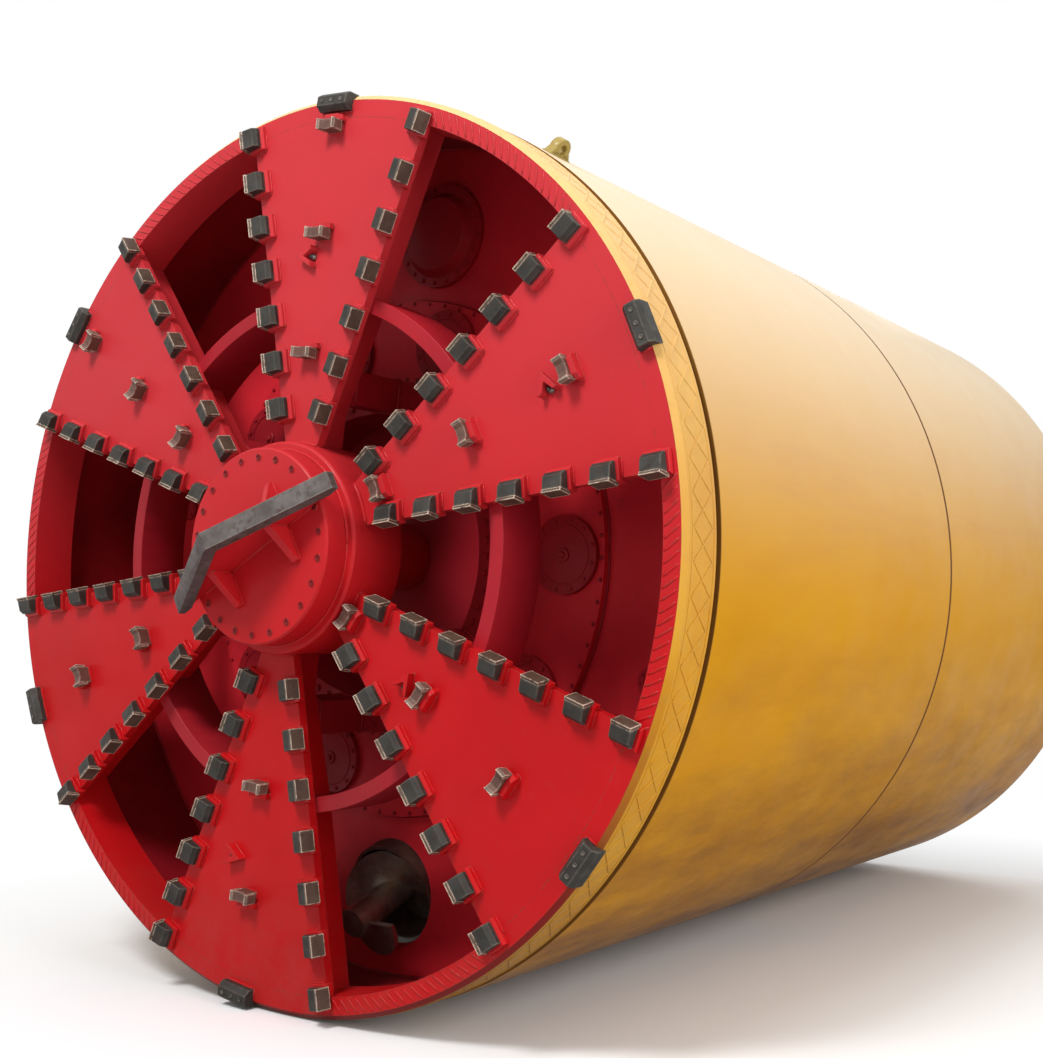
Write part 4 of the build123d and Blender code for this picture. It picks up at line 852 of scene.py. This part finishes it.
# their radius and angle
SENSORS = [(2.45, 12), (2.45, 168), (2.45, 215), (2.45, 338), (2.75, 110)]
PORTS = [(2.30, 28), (2.62, 150), (2.30, 236), (2.62, 325), (2.20, 105), (2.20, 292)]
SENSOR_BODY = [(0.105, -0.001), (0.105, 0.022), (0.099, 0.028), (0.060, 0.028), (0.056, 0.018)]
PORT_BODY = [(0.060, -0.001), (0.060, 0.014), (0.040, 0.020), (0.032, 0.060), (0.026, 0.064), (0.018, 0.050)]
bm = piece("bulkhead_ports", CHAMBER, "shield", False)
for radius, angle in SENSORS:
    base = facing_front(at(radius, angle, BULKHEAD_DEPTH))
    add_lathe(bm, base, SENSOR_BODY, 32)
    for place in places_round(base, 0.082, 8, 0.027):
        add_bolt(bm, place, 0.011, 0.010, 1.3)
for radius, angle in PORTS:
    add_lathe(bm, facing_front(at(radius, angle, BULKHEAD_DEPTH)), PORT_BODY, 24)

# Shield inside: pairs of grease pipes along the tail, between the jacks' shoes, with their clips
bm = piece("tail_grease_pipes", WHITE, "shield")
for i in range(8):
    angle = 45 * i
    for shift in (-0.7, 0.7):
        ends = [at(TAIL_INNER - 0.018, angle + shift, depth) for depth in (4.86, 7.40)]
        add_tube(bm, spaced(*ends, 0.4), 0.016)
    for depth in (5.0, 5.8, 6.6, 7.3):
        add_block(bm, facing(at(TAIL_INNER, angle, depth), -outward(angle)), (0.14, 0.05, 0.040))

# Bolts of the flanges inside the seam, with their nuts on the tail's side
FLANGE_CIRCLE = JACK_CIRCLE + BARREL_R + 0.035
bm = piece("seam_bolts", BOLT, "shield", False)
add_bolts(bm, facing_front, axis_at(SEAM_DEPTH - FLANGE_HALF), FLANGE_CIRCLE, 120, 1.5, 0.015, 0.016)
add_bolts(bm, facing_back, axis_at(SEAM_DEPTH + FLANGE_HALF), FLANGE_CIRCLE, 120, 1.5, 0.015, 0.020)

# Tail seal's wire bristles: three rows of thin leaning tufts
SEAL_ROWS, SEAL_PITCH, TUFTS = 3, 0.420, 440
CORNERS = ((-1, -1), (1, -1), (1, 1), (-1, 1))
bm = piece("tail_seal_bristles", WIRE, "shield", False)
for row in range(SEAL_ROWS):
    depth = TAIL_DEPTH - 0.200 - SEAL_PITCH * row
    for i in range(TUFTS):
        angle = 360 / TUFTS * (i + random.uniform(-0.2, 0.2))
        u, v = outward(angle), around(angle)
        lean = random.uniform(-0.006, 0.006)
        foot = at(TAIL_INNER - 0.024, angle, depth + 0.045)
        tip = at(TAIL_INNER - 0.066 + lean, angle, depth + 0.150 + lean)
        add_strips(bm, [[base + v * a * wide + u * b * thick for a, b in CORNERS]
                        for base, wide, thick in ((foot, 0.012, 0.006), (tip, 0.014, 0.003))])

# Thrust jacks: gland rings with screws, oil ports, and two pairs of ring pipes on the girders
JACKS = [JACK_PITCH * (i + 0.5) for i in range(16)]
BARREL_BACK = back_of("jack_barrels")
GIRDER_FRONT, GIRDER_REAR = front_of("jack_girders"), back_of("jack_girders")
PIPE_CIRCLE = JACK_CIRCLE - 0.260
GLAND = [(ROD_R + 0.008, -0.001), (BARREL_R + 0.006, -0.001), (BARREL_R + 0.006, 0.024), (BARREL_R - 0.010, 0.030),
         (ROD_R + 0.014, 0.030), (ROD_R + 0.008, 0.024)]
glands = piece("jack_glands", ORANGE, "shield")
ports = piece("jack_ports", BOLT, "shield", False)
pipes = piece("jack_ring_pipes", BOLT, "shield")
clips = piece("jack_pipe_clips", WHITE, "shield", False)
for angle in JACKS:
    base = facing_back(at(JACK_CIRCLE, angle, BARREL_BACK))
    add_ring(glands, base, GLAND, 40)
    for place in places_round(base, 0.142, 12, 0.028, 15):
        add_socket_bolt(glands, place, 0.010, 0.009)
    for depth in (GIRDER_FRONT + 0.32, BARREL_BACK - 0.18):
        foot = at(JACK_CIRCLE - BARREL_R + 0.006, angle, depth)
        add_block(ports, facing(foot, -outward(angle)), (0.085, 0.11, 0.055))
        for shift in (-0.022, 0.022):
            top = foot - outward(angle) * 0.052 + around(angle) * shift
            add_bolt(ports, facing(top, -outward(angle)), 0.018, 0.026, 0.0, 0.1)
for depth in (GIRDER_FRONT + 0.128, GIRDER_FRONT + 0.172, GIRDER_REAR - 0.172, GIRDER_REAR - 0.128):
    add_tube(pipes, circle(axis_at(depth), PIPE_CIRCLE, 120), 0.017, True)
for i in range(16):
    angle = JACK_PITCH * i
    turn = math.radians(angle - 90)
    for way, depth in ((facing_back, GIRDER_FRONT + FLANGE_HALF), (facing_front, GIRDER_REAR - FLANGE_HALF)):
        add_block(clips, way(at(PIPE_CIRCLE, angle, depth), turn), (0.055, 0.060, 0.145))

# Valve blocks on the front girder, between the jacks
bm = piece("valve_blocks", BOLT, "shield", False)
coils = piece("valve_coils", PAD, "shield")
for angle in (0.0, 45.0, 135.0, 180.0, 225.0, 315.0):
    base = facing_back(at(JACK_CIRCLE - 0.02, angle, GIRDER_FRONT + FLANGE_HALF), math.radians(angle))
    add_block(bm, base, (0.24, 0.40, 0.15))
    for k in range(5):
        valve = shifted(base, 0.0, -0.150 + 0.075 * k, 0.149)
        add_block(bm, valve, (0.15, 0.052, 0.050))
        for flip in (-1, 1):
            add_lathe(coils, shifted(valve, flip * 0.048, 0, 0.048), [(0.019, 0.0), (0.019, 0.055), (0.014, 0.062)],
                      12)

# Bolts that hold the barrels' feet and the girders' rims
bm = piece("girder_bolts", BOLT, "shield", False)
for angle in JACKS:
    add_bolts(bm, facing_front, at(JACK_CIRCLE, angle, GIRDER_FRONT), 0.110, 10, 18, 0.017, 0.016)
add_bolts(bm, facing_back, axis_at(GIRDER_REAR), TAIL_INNER - 0.045, 144, 1.25, 0.014, 0.014)

# Rubber pads on the jacks' shoes, two to a shoe
PAD_HALF_ANGLE, PAD_GAP = 10.1, 0.15
PAD_OUTER, PAD_INNER = TAIL_INNER - 0.100, TAIL_INNER - 0.400
for group, first in (("top", 45), ("left", 135), ("bottom", 225), ("right", 315)):
    depth = back_of("jack_shoes_" + group)
    section = [(PAD_INNER, depth - 0.001), (PAD_INNER, depth + 0.022), (PAD_INNER + 0.010, depth + 0.032),
               (PAD_OUTER - 0.010, depth + 0.032), (PAD_OUTER, depth + 0.022), (PAD_OUTER, depth - 0.001)]
    bm = piece("shoe_pads_" + group, PAD, "thrust_" + group, False)
    screws = piece("shoe_screws_" + group, BOLT, "thrust_" + group)
    for i in range(4):
        middle = first + JACK_PITCH * (i + 0.5)
        for start, end in ((-PAD_HALF_ANGLE, -PAD_GAP), (PAD_GAP, PAD_HALF_ANGLE)):
            add_strips(bm, [[at(r, middle + start + (end - start) * k / 6, d) for r, d in section]
                            for k in range(7)])
            for share in (0.2, 0.8):
                for r in (PAD_INNER + 0.06, PAD_OUTER - 0.06):
                    spot = at(r, middle + start + (end - start) * share, depth + 0.031)
                    add_socket_bolt(screws, facing_back(spot), 0.014, 0.006)

# Main drive from behind: motor fins, end caps, terminal boxes, flanges, and the bolts of its cover
MOTOR_LENGTH, REDUCER_LENGTH = 0.640, 0.480
REDUCER_R = PINION_R - 0.008
MOTOR_R = REDUCER_R - 0.057
# the screw conveyor passes where the eighth and ninth motors would be
NO_MOTOR = (7, 8)
MOTOR_END = REDUCER_LENGTH + MOTOR_LENGTH
MOTOR_CAP = [(MOTOR_R - 0.012, MOTOR_END - 0.001), (MOTOR_R - 0.012, MOTOR_END + 0.030),
             (MOTOR_R - 0.040, MOTOR_END + 0.055), (0.060, MOTOR_END + 0.060), (0.055, MOTOR_END + 0.050)]
fins = piece("motor_fins", BLUE, "shield")
boxes = piece("motor_terminal_boxes", WHITE, "shield", False)
bolts = piece("motor_bolts", BOLT, "shield", False)
for i in range(PINIONS):
    if i in NO_MOTOR:
        continue
    angle = FIRST_PINION + 360 / PINIONS * i
    axis = at(COVER_CIRCLE, angle, HOUSING_BACK)
    base = facing_back(axis)
    add_collar(fins, base, REDUCER_R - 0.002, REDUCER_R + 0.034, -0.001, 0.030, 0.006, 48)
    add_collar(fins, base, MOTOR_R - 0.002, REDUCER_R - 0.012, REDUCER_LENGTH - 0.001, REDUCER_LENGTH + 0.034,
               0.006, 48)
    for k in range(10):
        z = REDUCER_LENGTH + 0.085 + 0.042 * k
        add_collar(fins, base, MOTOR_R - 0.002, MOTOR_R + 0.018, z, z + 0.010, 0.002, 40)
    add_lathe(fins, base, MOTOR_CAP, 36)
    for place in places_round(base, REDUCER_R + 0.016, 16, 0.030, 11.25):
        add_bolt(bolts, place, 0.012, 0.014, 0.0)
    for place in places_round(base, MOTOR_R + 0.020, 8, REDUCER_LENGTH + 0.034, 33.75):
        add_bolt(bolts, place, 0.011, 0.014, 0.0)
    seat = axis + BACK * (REDUCER_LENGTH + 0.30) - outward(angle) * (MOTOR_R - 0.004)
    add_block(boxes, facing(seat, -outward(angle)), (0.16, 0.20, 0.110))
    add_block(boxes, facing(seat - outward(angle) * 0.109, -outward(angle)), (0.172, 0.212, 0.014), 0.2)

bm = piece("housing_bolts", BOLT, "shield", False)
add_bolts(bm, facing_back, axis_at(HOUSING_BACK), HOUSING_R - 0.032, 90, 0, 0.015, 0.016)
add_bolts(bm, facing_back, axis_at(HOUSING_BACK + 0.024), 0.60, 24, 0, 0.015, 0.016, 1.3)

UNION_BODY = [(0.66, -0.001), (0.66, 0.020), (0.655, 0.025), (0.30, 0.025), (0.26, 0.030), (0.22, 0.10),
              (0.21, 0.115), (0.15, 0.115), (0.15, 0.34), (0.14, 0.35), (0.05, 0.35)]
bm = piece("rotary_union", WHITE, "shield")
centre = facing_back(axis_at(HOUSING_BACK))
add_lathe(bm, centre, UNION_BODY, 56)
for rib in places_round(centre, 0.30, 8, 0.024, 0.0, True):
    add_block(bm, rib, (0.18, 0.018, 0.050))

fittings = piece("rotary_union_fittings", BRASS, "shield", False)
for i in range(6):
    out = outward(60 * i + math.degrees(0.3))
    mouth = axis_at(HOUSING_BACK + 0.20 + 0.02 * (i % 2)) + out * 0.149
    add_bolt(fittings, facing(mouth, out), 0.022, 0.045, 0.0, 0.12)


# Screw conveyor: flange bolts, wear rings, ports and the drive's motors
def screw_frame(along):
    """A matrix on the screw conveyor's axis whose z looks up the screw."""
    point = axis_at(BULKHEAD_DEPTH + along * math.cos(SCREW_SLOPE))
    point.z += along * math.sin(SCREW_SLOPE) - SCREW_DROP
    return Matrix.Translation(point) @ Matrix.Rotation(SCREW_SLOPE - math.pi / 2, 4, "X")


CASING_PORT = [(0.060, 0.0), (0.060, 0.018), (0.034, 0.022), (0.030, 0.070), (0.040, 0.072), (0.040, 0.088),
               (0.020, 0.090)]
CASING_RING = [(CASING_R - 0.002, 0.0), (CASING_R + 0.014, 0.004), (CASING_R + 0.014, 0.066),
               (CASING_R - 0.002, 0.070)]
rings = piece("screw_casing_rings", GREY, "shield")
bolts = piece("screw_bolts", BOLT, "shield", False)
for share in (0.32, 0.66):
    for along, flip in ((share * CASING_LENGTH, math.pi), (share * CASING_LENGTH + 0.060, 0)):
        for place in places_round(screw_frame(along), 0.418, 28):
            add_bolt(bolts, place @ Matrix.Rotation(flip, 4, "X"), 0.015, 0.018, 1.3)
for along in (1.3, 3.4, 4.1, 5.3):
    add_ring(rings, screw_frame(along), CASING_RING, 64)
for along in (1.8, 2.9, 3.9, 5.0):
    for turn in (40, 140):
        side = shifted(screw_frame(along) @ Matrix.Rotation(math.radians(turn), 4, "Z"), CASING_R - 0.004, 0, 0)
        add_lathe(rings, side @ Matrix.Rotation(math.pi / 2, 4, "Y"), CASING_PORT, 20)
drive_end = screw_frame(CASING_LENGTH + 0.420)
for place in places_round(drive_end, 0.370, 24, -0.001):
    add_bolt(bolts, place, 0.015, 0.018, 1.3)

SCREW_MOTOR = [(0.115, 0.0), (0.115, 0.024), (0.092, 0.028), (0.088, 0.15), (0.098, 0.155), (0.098, 0.215),
               (0.088, 0.225), (0.03, 0.225)]
motors = piece("screw_drive_motors", BLUE, "shield")
for place in places_round(drive_end, 0.20, 3, -0.001, 90):
    add_lathe(motors, place, SCREW_MOTOR, 28)

# Man lock: viewports and gauges round the door, rings on the vessel, and the door's handwheel and clamps
DOOR_LOW, DOOR_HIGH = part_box("lock_door")
LOCK_R = 0.540
DOOR_X = DOOR_HIGH[0] - (LOCK_R - 0.240 + 0.040)
DOOR_Z = (DOOR_LOW[2] + DOOR_HIGH[2]) / 2
LOCK_BACK = back_of("man_lock") - 0.102
VIEWPORT = [(0.062, -0.001), (0.062, 0.016), (0.056, 0.020), (0.040, 0.020), (0.036, 0.012)]
GAUGE = [(0.018, -0.001), (0.018, 0.03), (0.048, 0.034), (0.050, 0.056), (0.046, 0.060), (0.042, 0.056)]
LOCK_RING = [(LOCK_R - 0.002, 0), (LOCK_R + 0.020, 0.003), (LOCK_R + 0.020, 0.037), (LOCK_R - 0.002, 0.040)]


def by_door(x, z, depth):
    """A matrix beside the lock door's middle that looks back."""
    return facing_back(Vector((DOOR_X + x, FACE_Y + depth, DOOR_Z + z)))


bm = piece("lock_fittings", WHITE, "shield")
for x, z in ((0.42, 0.12), (0.42, -0.12)):
    add_lathe(bm, by_door(x, z, LOCK_BACK), VIEWPORT, 24)
for x, z in ((0.0, 0.44), (0.16, 0.41), (-0.16, 0.41)):
    add_lathe(bm, by_door(x, z, LOCK_BACK), GAUGE, 24)
for depth in (1.45, 2.05):
    add_ring(bm, by_door(0, 0, depth), LOCK_RING, 72)

WHEEL_R, WHEEL_RISE = 0.130, 0.066
WHEEL_HUB = [(0.050, -0.001), (0.050, 0.018), (0.024, 0.022), (0.024, 0.060), (0.032, 0.064), (0.030, 0.078)]
bm = piece("lock_door_wheel", DARK_RED_AND_SHADE, "door", slot="door_paint")
wheel = by_door(0, 0, LOCK_BACK + 0.051)
add_lathe(bm, wheel, WHEEL_HUB, 24)
add_tube(bm, [place.translation for place in places_round(wheel, WHEEL_R, 36, WHEEL_RISE)], 0.010, True)
for k in range(4):
    a = math.pi / 2 * k + 0.4
    spoke = [wheel @ Vector((r * math.cos(a), r * math.sin(a), WHEEL_RISE)) for r in (0.02, 0.075, WHEEL_R)]
    add_tube(bm, spoke, 0.007)

bm = piece("lock_door_dogs", BOLT, "door", False, slot="door_paint")
for place in places_round(wheel, 0.272, 8, -0.001, 22.5, True):
    add_block(bm, place, (0.09, 0.044, 0.022), 0.2)
    add_bolt(bm, shifted(place, -0.022, 0, 0.021), 0.012, 0.012, 0.0)

# Segment erector: bolts on its ring, turning motors on the frame, caps on the rollers and pads on the head
RING_DEPTH, RING_WIDTH = front_of("erector_ring"), 0.220
RING_OUTER = radius_across("erector_ring")
RING_MIDDLE = RING_OUTER - RING_WIDTH / 2
ROLLER_CIRCLE = RING_OUTER + 0.0953
ROLLERS = (30, 90, 150, 210, 330)
MOTOR_ROLLERS = (30, 150)
ROLLER_FRONT = RING_DEPTH - 0.069
FRONT_CAP = [(0.062, -0.001), (0.062, 0.014), (0.055, 0.020), (0.030, 0.020), (0.026, 0.030)]
BACK_CAP = [(0.048, -0.001), (0.048, 0.010), (0.042, 0.014)]
TURNING_MOTOR = [(0.058, 0.0), (0.058, 0.10), (0.075, 0.105), (0.075, 0.24), (0.065, 0.25), (0.03, 0.25)]
bolts = piece("erector_ring_bolts", BOLT, "erector", False)
add_bolts(bolts, facing_front, axis_at(RING_DEPTH), RING_MIDDLE, 72, 0, 0.014, 0.015)
# the head's posts cover the lowest places behind
add_bolts(bolts, facing_back, axis_at(RING_DEPTH + RING_WIDTH), RING_MIDDLE, 72, 0, 0.014, 0.015, 1.4, 1.0,
          lambda a: abs(math.sin(math.radians(a)) + 1) > 0.06)

caps = piece("erector_roller_caps", BOLT, "shield")
bm = piece("erector_motors", BLUE, "shield")
for angle in ROLLERS:
    add_lathe(caps, facing_front(at(ROLLER_CIRCLE, angle, ROLLER_FRONT)), FRONT_CAP, 24)
    add_lathe(caps, facing_back(at(ROLLER_CIRCLE, angle, RING_DEPTH + 0.209)), BACK_CAP, 24)
for angle in MOTOR_ROLLERS:
    add_lathe(bm, facing_front(at(ROLLER_CIRCLE, angle, ROLLER_FRONT - 0.018)), TURNING_MOTOR, 28)

HEAD_LOW, HEAD_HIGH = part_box("erector_head")
head = facing_back(Vector((0, HEAD_HIGH[1], (HEAD_LOW[2] + HEAD_HIGH[2]) / 2)))
bm = piece("erector_head_fittings", BOLT, "lifting_head")
for x in (-0.15, 0.15):
    for y in (-0.055, 0.055):
        add_lathe(bm, shifted(head, x, y, 0), [(0.020, -0.001), (0.020, 0.012), (0.014, 0.018)], 16)
add_lathe(bm, head, [(0.060, -0.001), (0.060, 0.012), (0.036, 0.016), (0.030, 0.006)], 24)

# Welds of the lifting lugs on the shield
LUG_ANGLES = (55, 125)
bm = piece("lifting_lug_welds", OLIVE, "shield")
for angle in LUG_ANGLES:
    for flip in (-1, 1):
        aside = around(angle) * flip
        ends = [at(SHIELD_R + 0.0005, angle, end("lifting_lugs")) + aside * 0.037 for end in (front_of, back_of)]
        bead_line(bm, ends, between(outward(angle), aside), 0.020, 0.010, 0.02)

# The pieces' objects
for name, bm, material, body, smooth, slot in PIECES:
    bmesh.ops.recalc_face_normals(bm, faces=bm.faces)
    obj = add_object(name, mesh_from(name, bm, material))
    for face in obj.data.polygons:
        face.use_smooth = smooth
    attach(obj, body)

# Floor
s = Surface("floor")
# pale to the camera, and a little darker as it lights the machine from below
seen_directly = s.add("LightPath").outputs["Is Camera Ray"]
s.put(s.shader, "Base Color", s.mix(seen_directly, (0.52, 0.52, 0.52), (0.92, 0.92, 0.92)))
s.put(s.shader, "Roughness", 0.9)
s.put(s.shader, SPECULAR, 0.1)
# away from the machine the camera sees the floor as white as the background
beside = s.math("SUBTRACT", s.math("ABSOLUTE", s.place("X")), cad_box[1][0])
beyond = s.math("SUBTRACT", s.math("ABSOLUTE", s.place("Y")), cad_box[1][1])
far = s.remap(s.math("MAXIMUM", beside, beyond), -0.6, 3.2)
white = s.add("Emission", {"Color": (1, 1, 1), "Strength": 1.0}).outputs["Emission"]
fade = s.add("MixShader", {"Fac": s.times(far, s.white_rays()), 1: s.shader.outputs["BSDF"], 2: white})
s.put(s.end, "Surface", fade.outputs["Shader"])
bm = bmesh.new()
bmesh.ops.create_grid(bm, x_segments=2, y_segments=2, size=150)
floor = add_object("floor", mesh_from("floor", bm, s.material))
floor.location.z = cad_box[0][2] - 0.002

# World: white to the camera and to reflections, plain soft light on the object
LIGHT_STRENGTH = 0.58
world = bpy.data.worlds.new("studio")
bpy.context.scene.world = world
world.use_nodes = True
sky = Nodes(world.node_tree)
lit = sky.add("Background", {"Color": (1, 1, 1), "Strength": LIGHT_STRENGTH}).outputs["Background"]
seen = sky.add("Background", {"Color": (1, 1, 1), "Strength": 1.0}).outputs["Background"]
choose = sky.add("MixShader", {"Fac": sky.white_rays(), 1: lit, 2: seen})
sky.add("OutputWorld", {"Surface": choose.outputs["Shader"]})


def area_light(name, place, target, size, power):
    """A soft square lamp aimed at a point."""
    lamp = bpy.data.lights.new(name, "AREA")
    lamp.shape = "SQUARE"
    lamp.size = size
    lamp.energy = power
    obj = add_object(name, lamp)
    obj.location = place
    obj.rotation_euler = (Vector(target) - Vector(place)).to_track_quat("-Z", "Y").to_euler()


area_light("key", (1.0, -14.0, 15.0), (0, -4.0, 3.2), 4.0, 2000)
area_light("fill", (15.0, -4.5, 6.0), (1.5, 0.0, 3.0), 9.0, 1250)
area_light("top", (0.0, 3.0, 16.0), (0, 1.0, 3.0), 10.0, 250)
area_light("back", (-6.0, 16.0, 8.0), (0, 4.0, 3.0), 8.0, 700)

# Camera: fitted to the photograph's panel edges, rings and cutters
IMAGE_HEIGHT = 1058
FOCAL_PIXELS = 1356.1
CAMERA_SPOT = Vector((2.213, -2.103, -0.207)) * FACE_R + Vector((0, FACE_Y, AXIS_Z))
CAMERA_YAW, CAMERA_PITCH = 0.641, 0.083
camera_data = bpy.data.cameras.new("camera")
camera_data.sensor_fit = "VERTICAL"
camera_data.sensor_height = 36.0
camera_data.lens = FOCAL_PIXELS * camera_data.sensor_height / IMAGE_HEIGHT
camera_data.clip_end = 500
camera = add_object("camera", camera_data)
camera.location = CAMERA_SPOT
camera.rotation_euler = (math.pi / 2 + CAMERA_PITCH, 0, CAMERA_YAW)
bpy.context.scene.camera = camera

bpy.context.scene.view_settings.view_transform = "Standard"
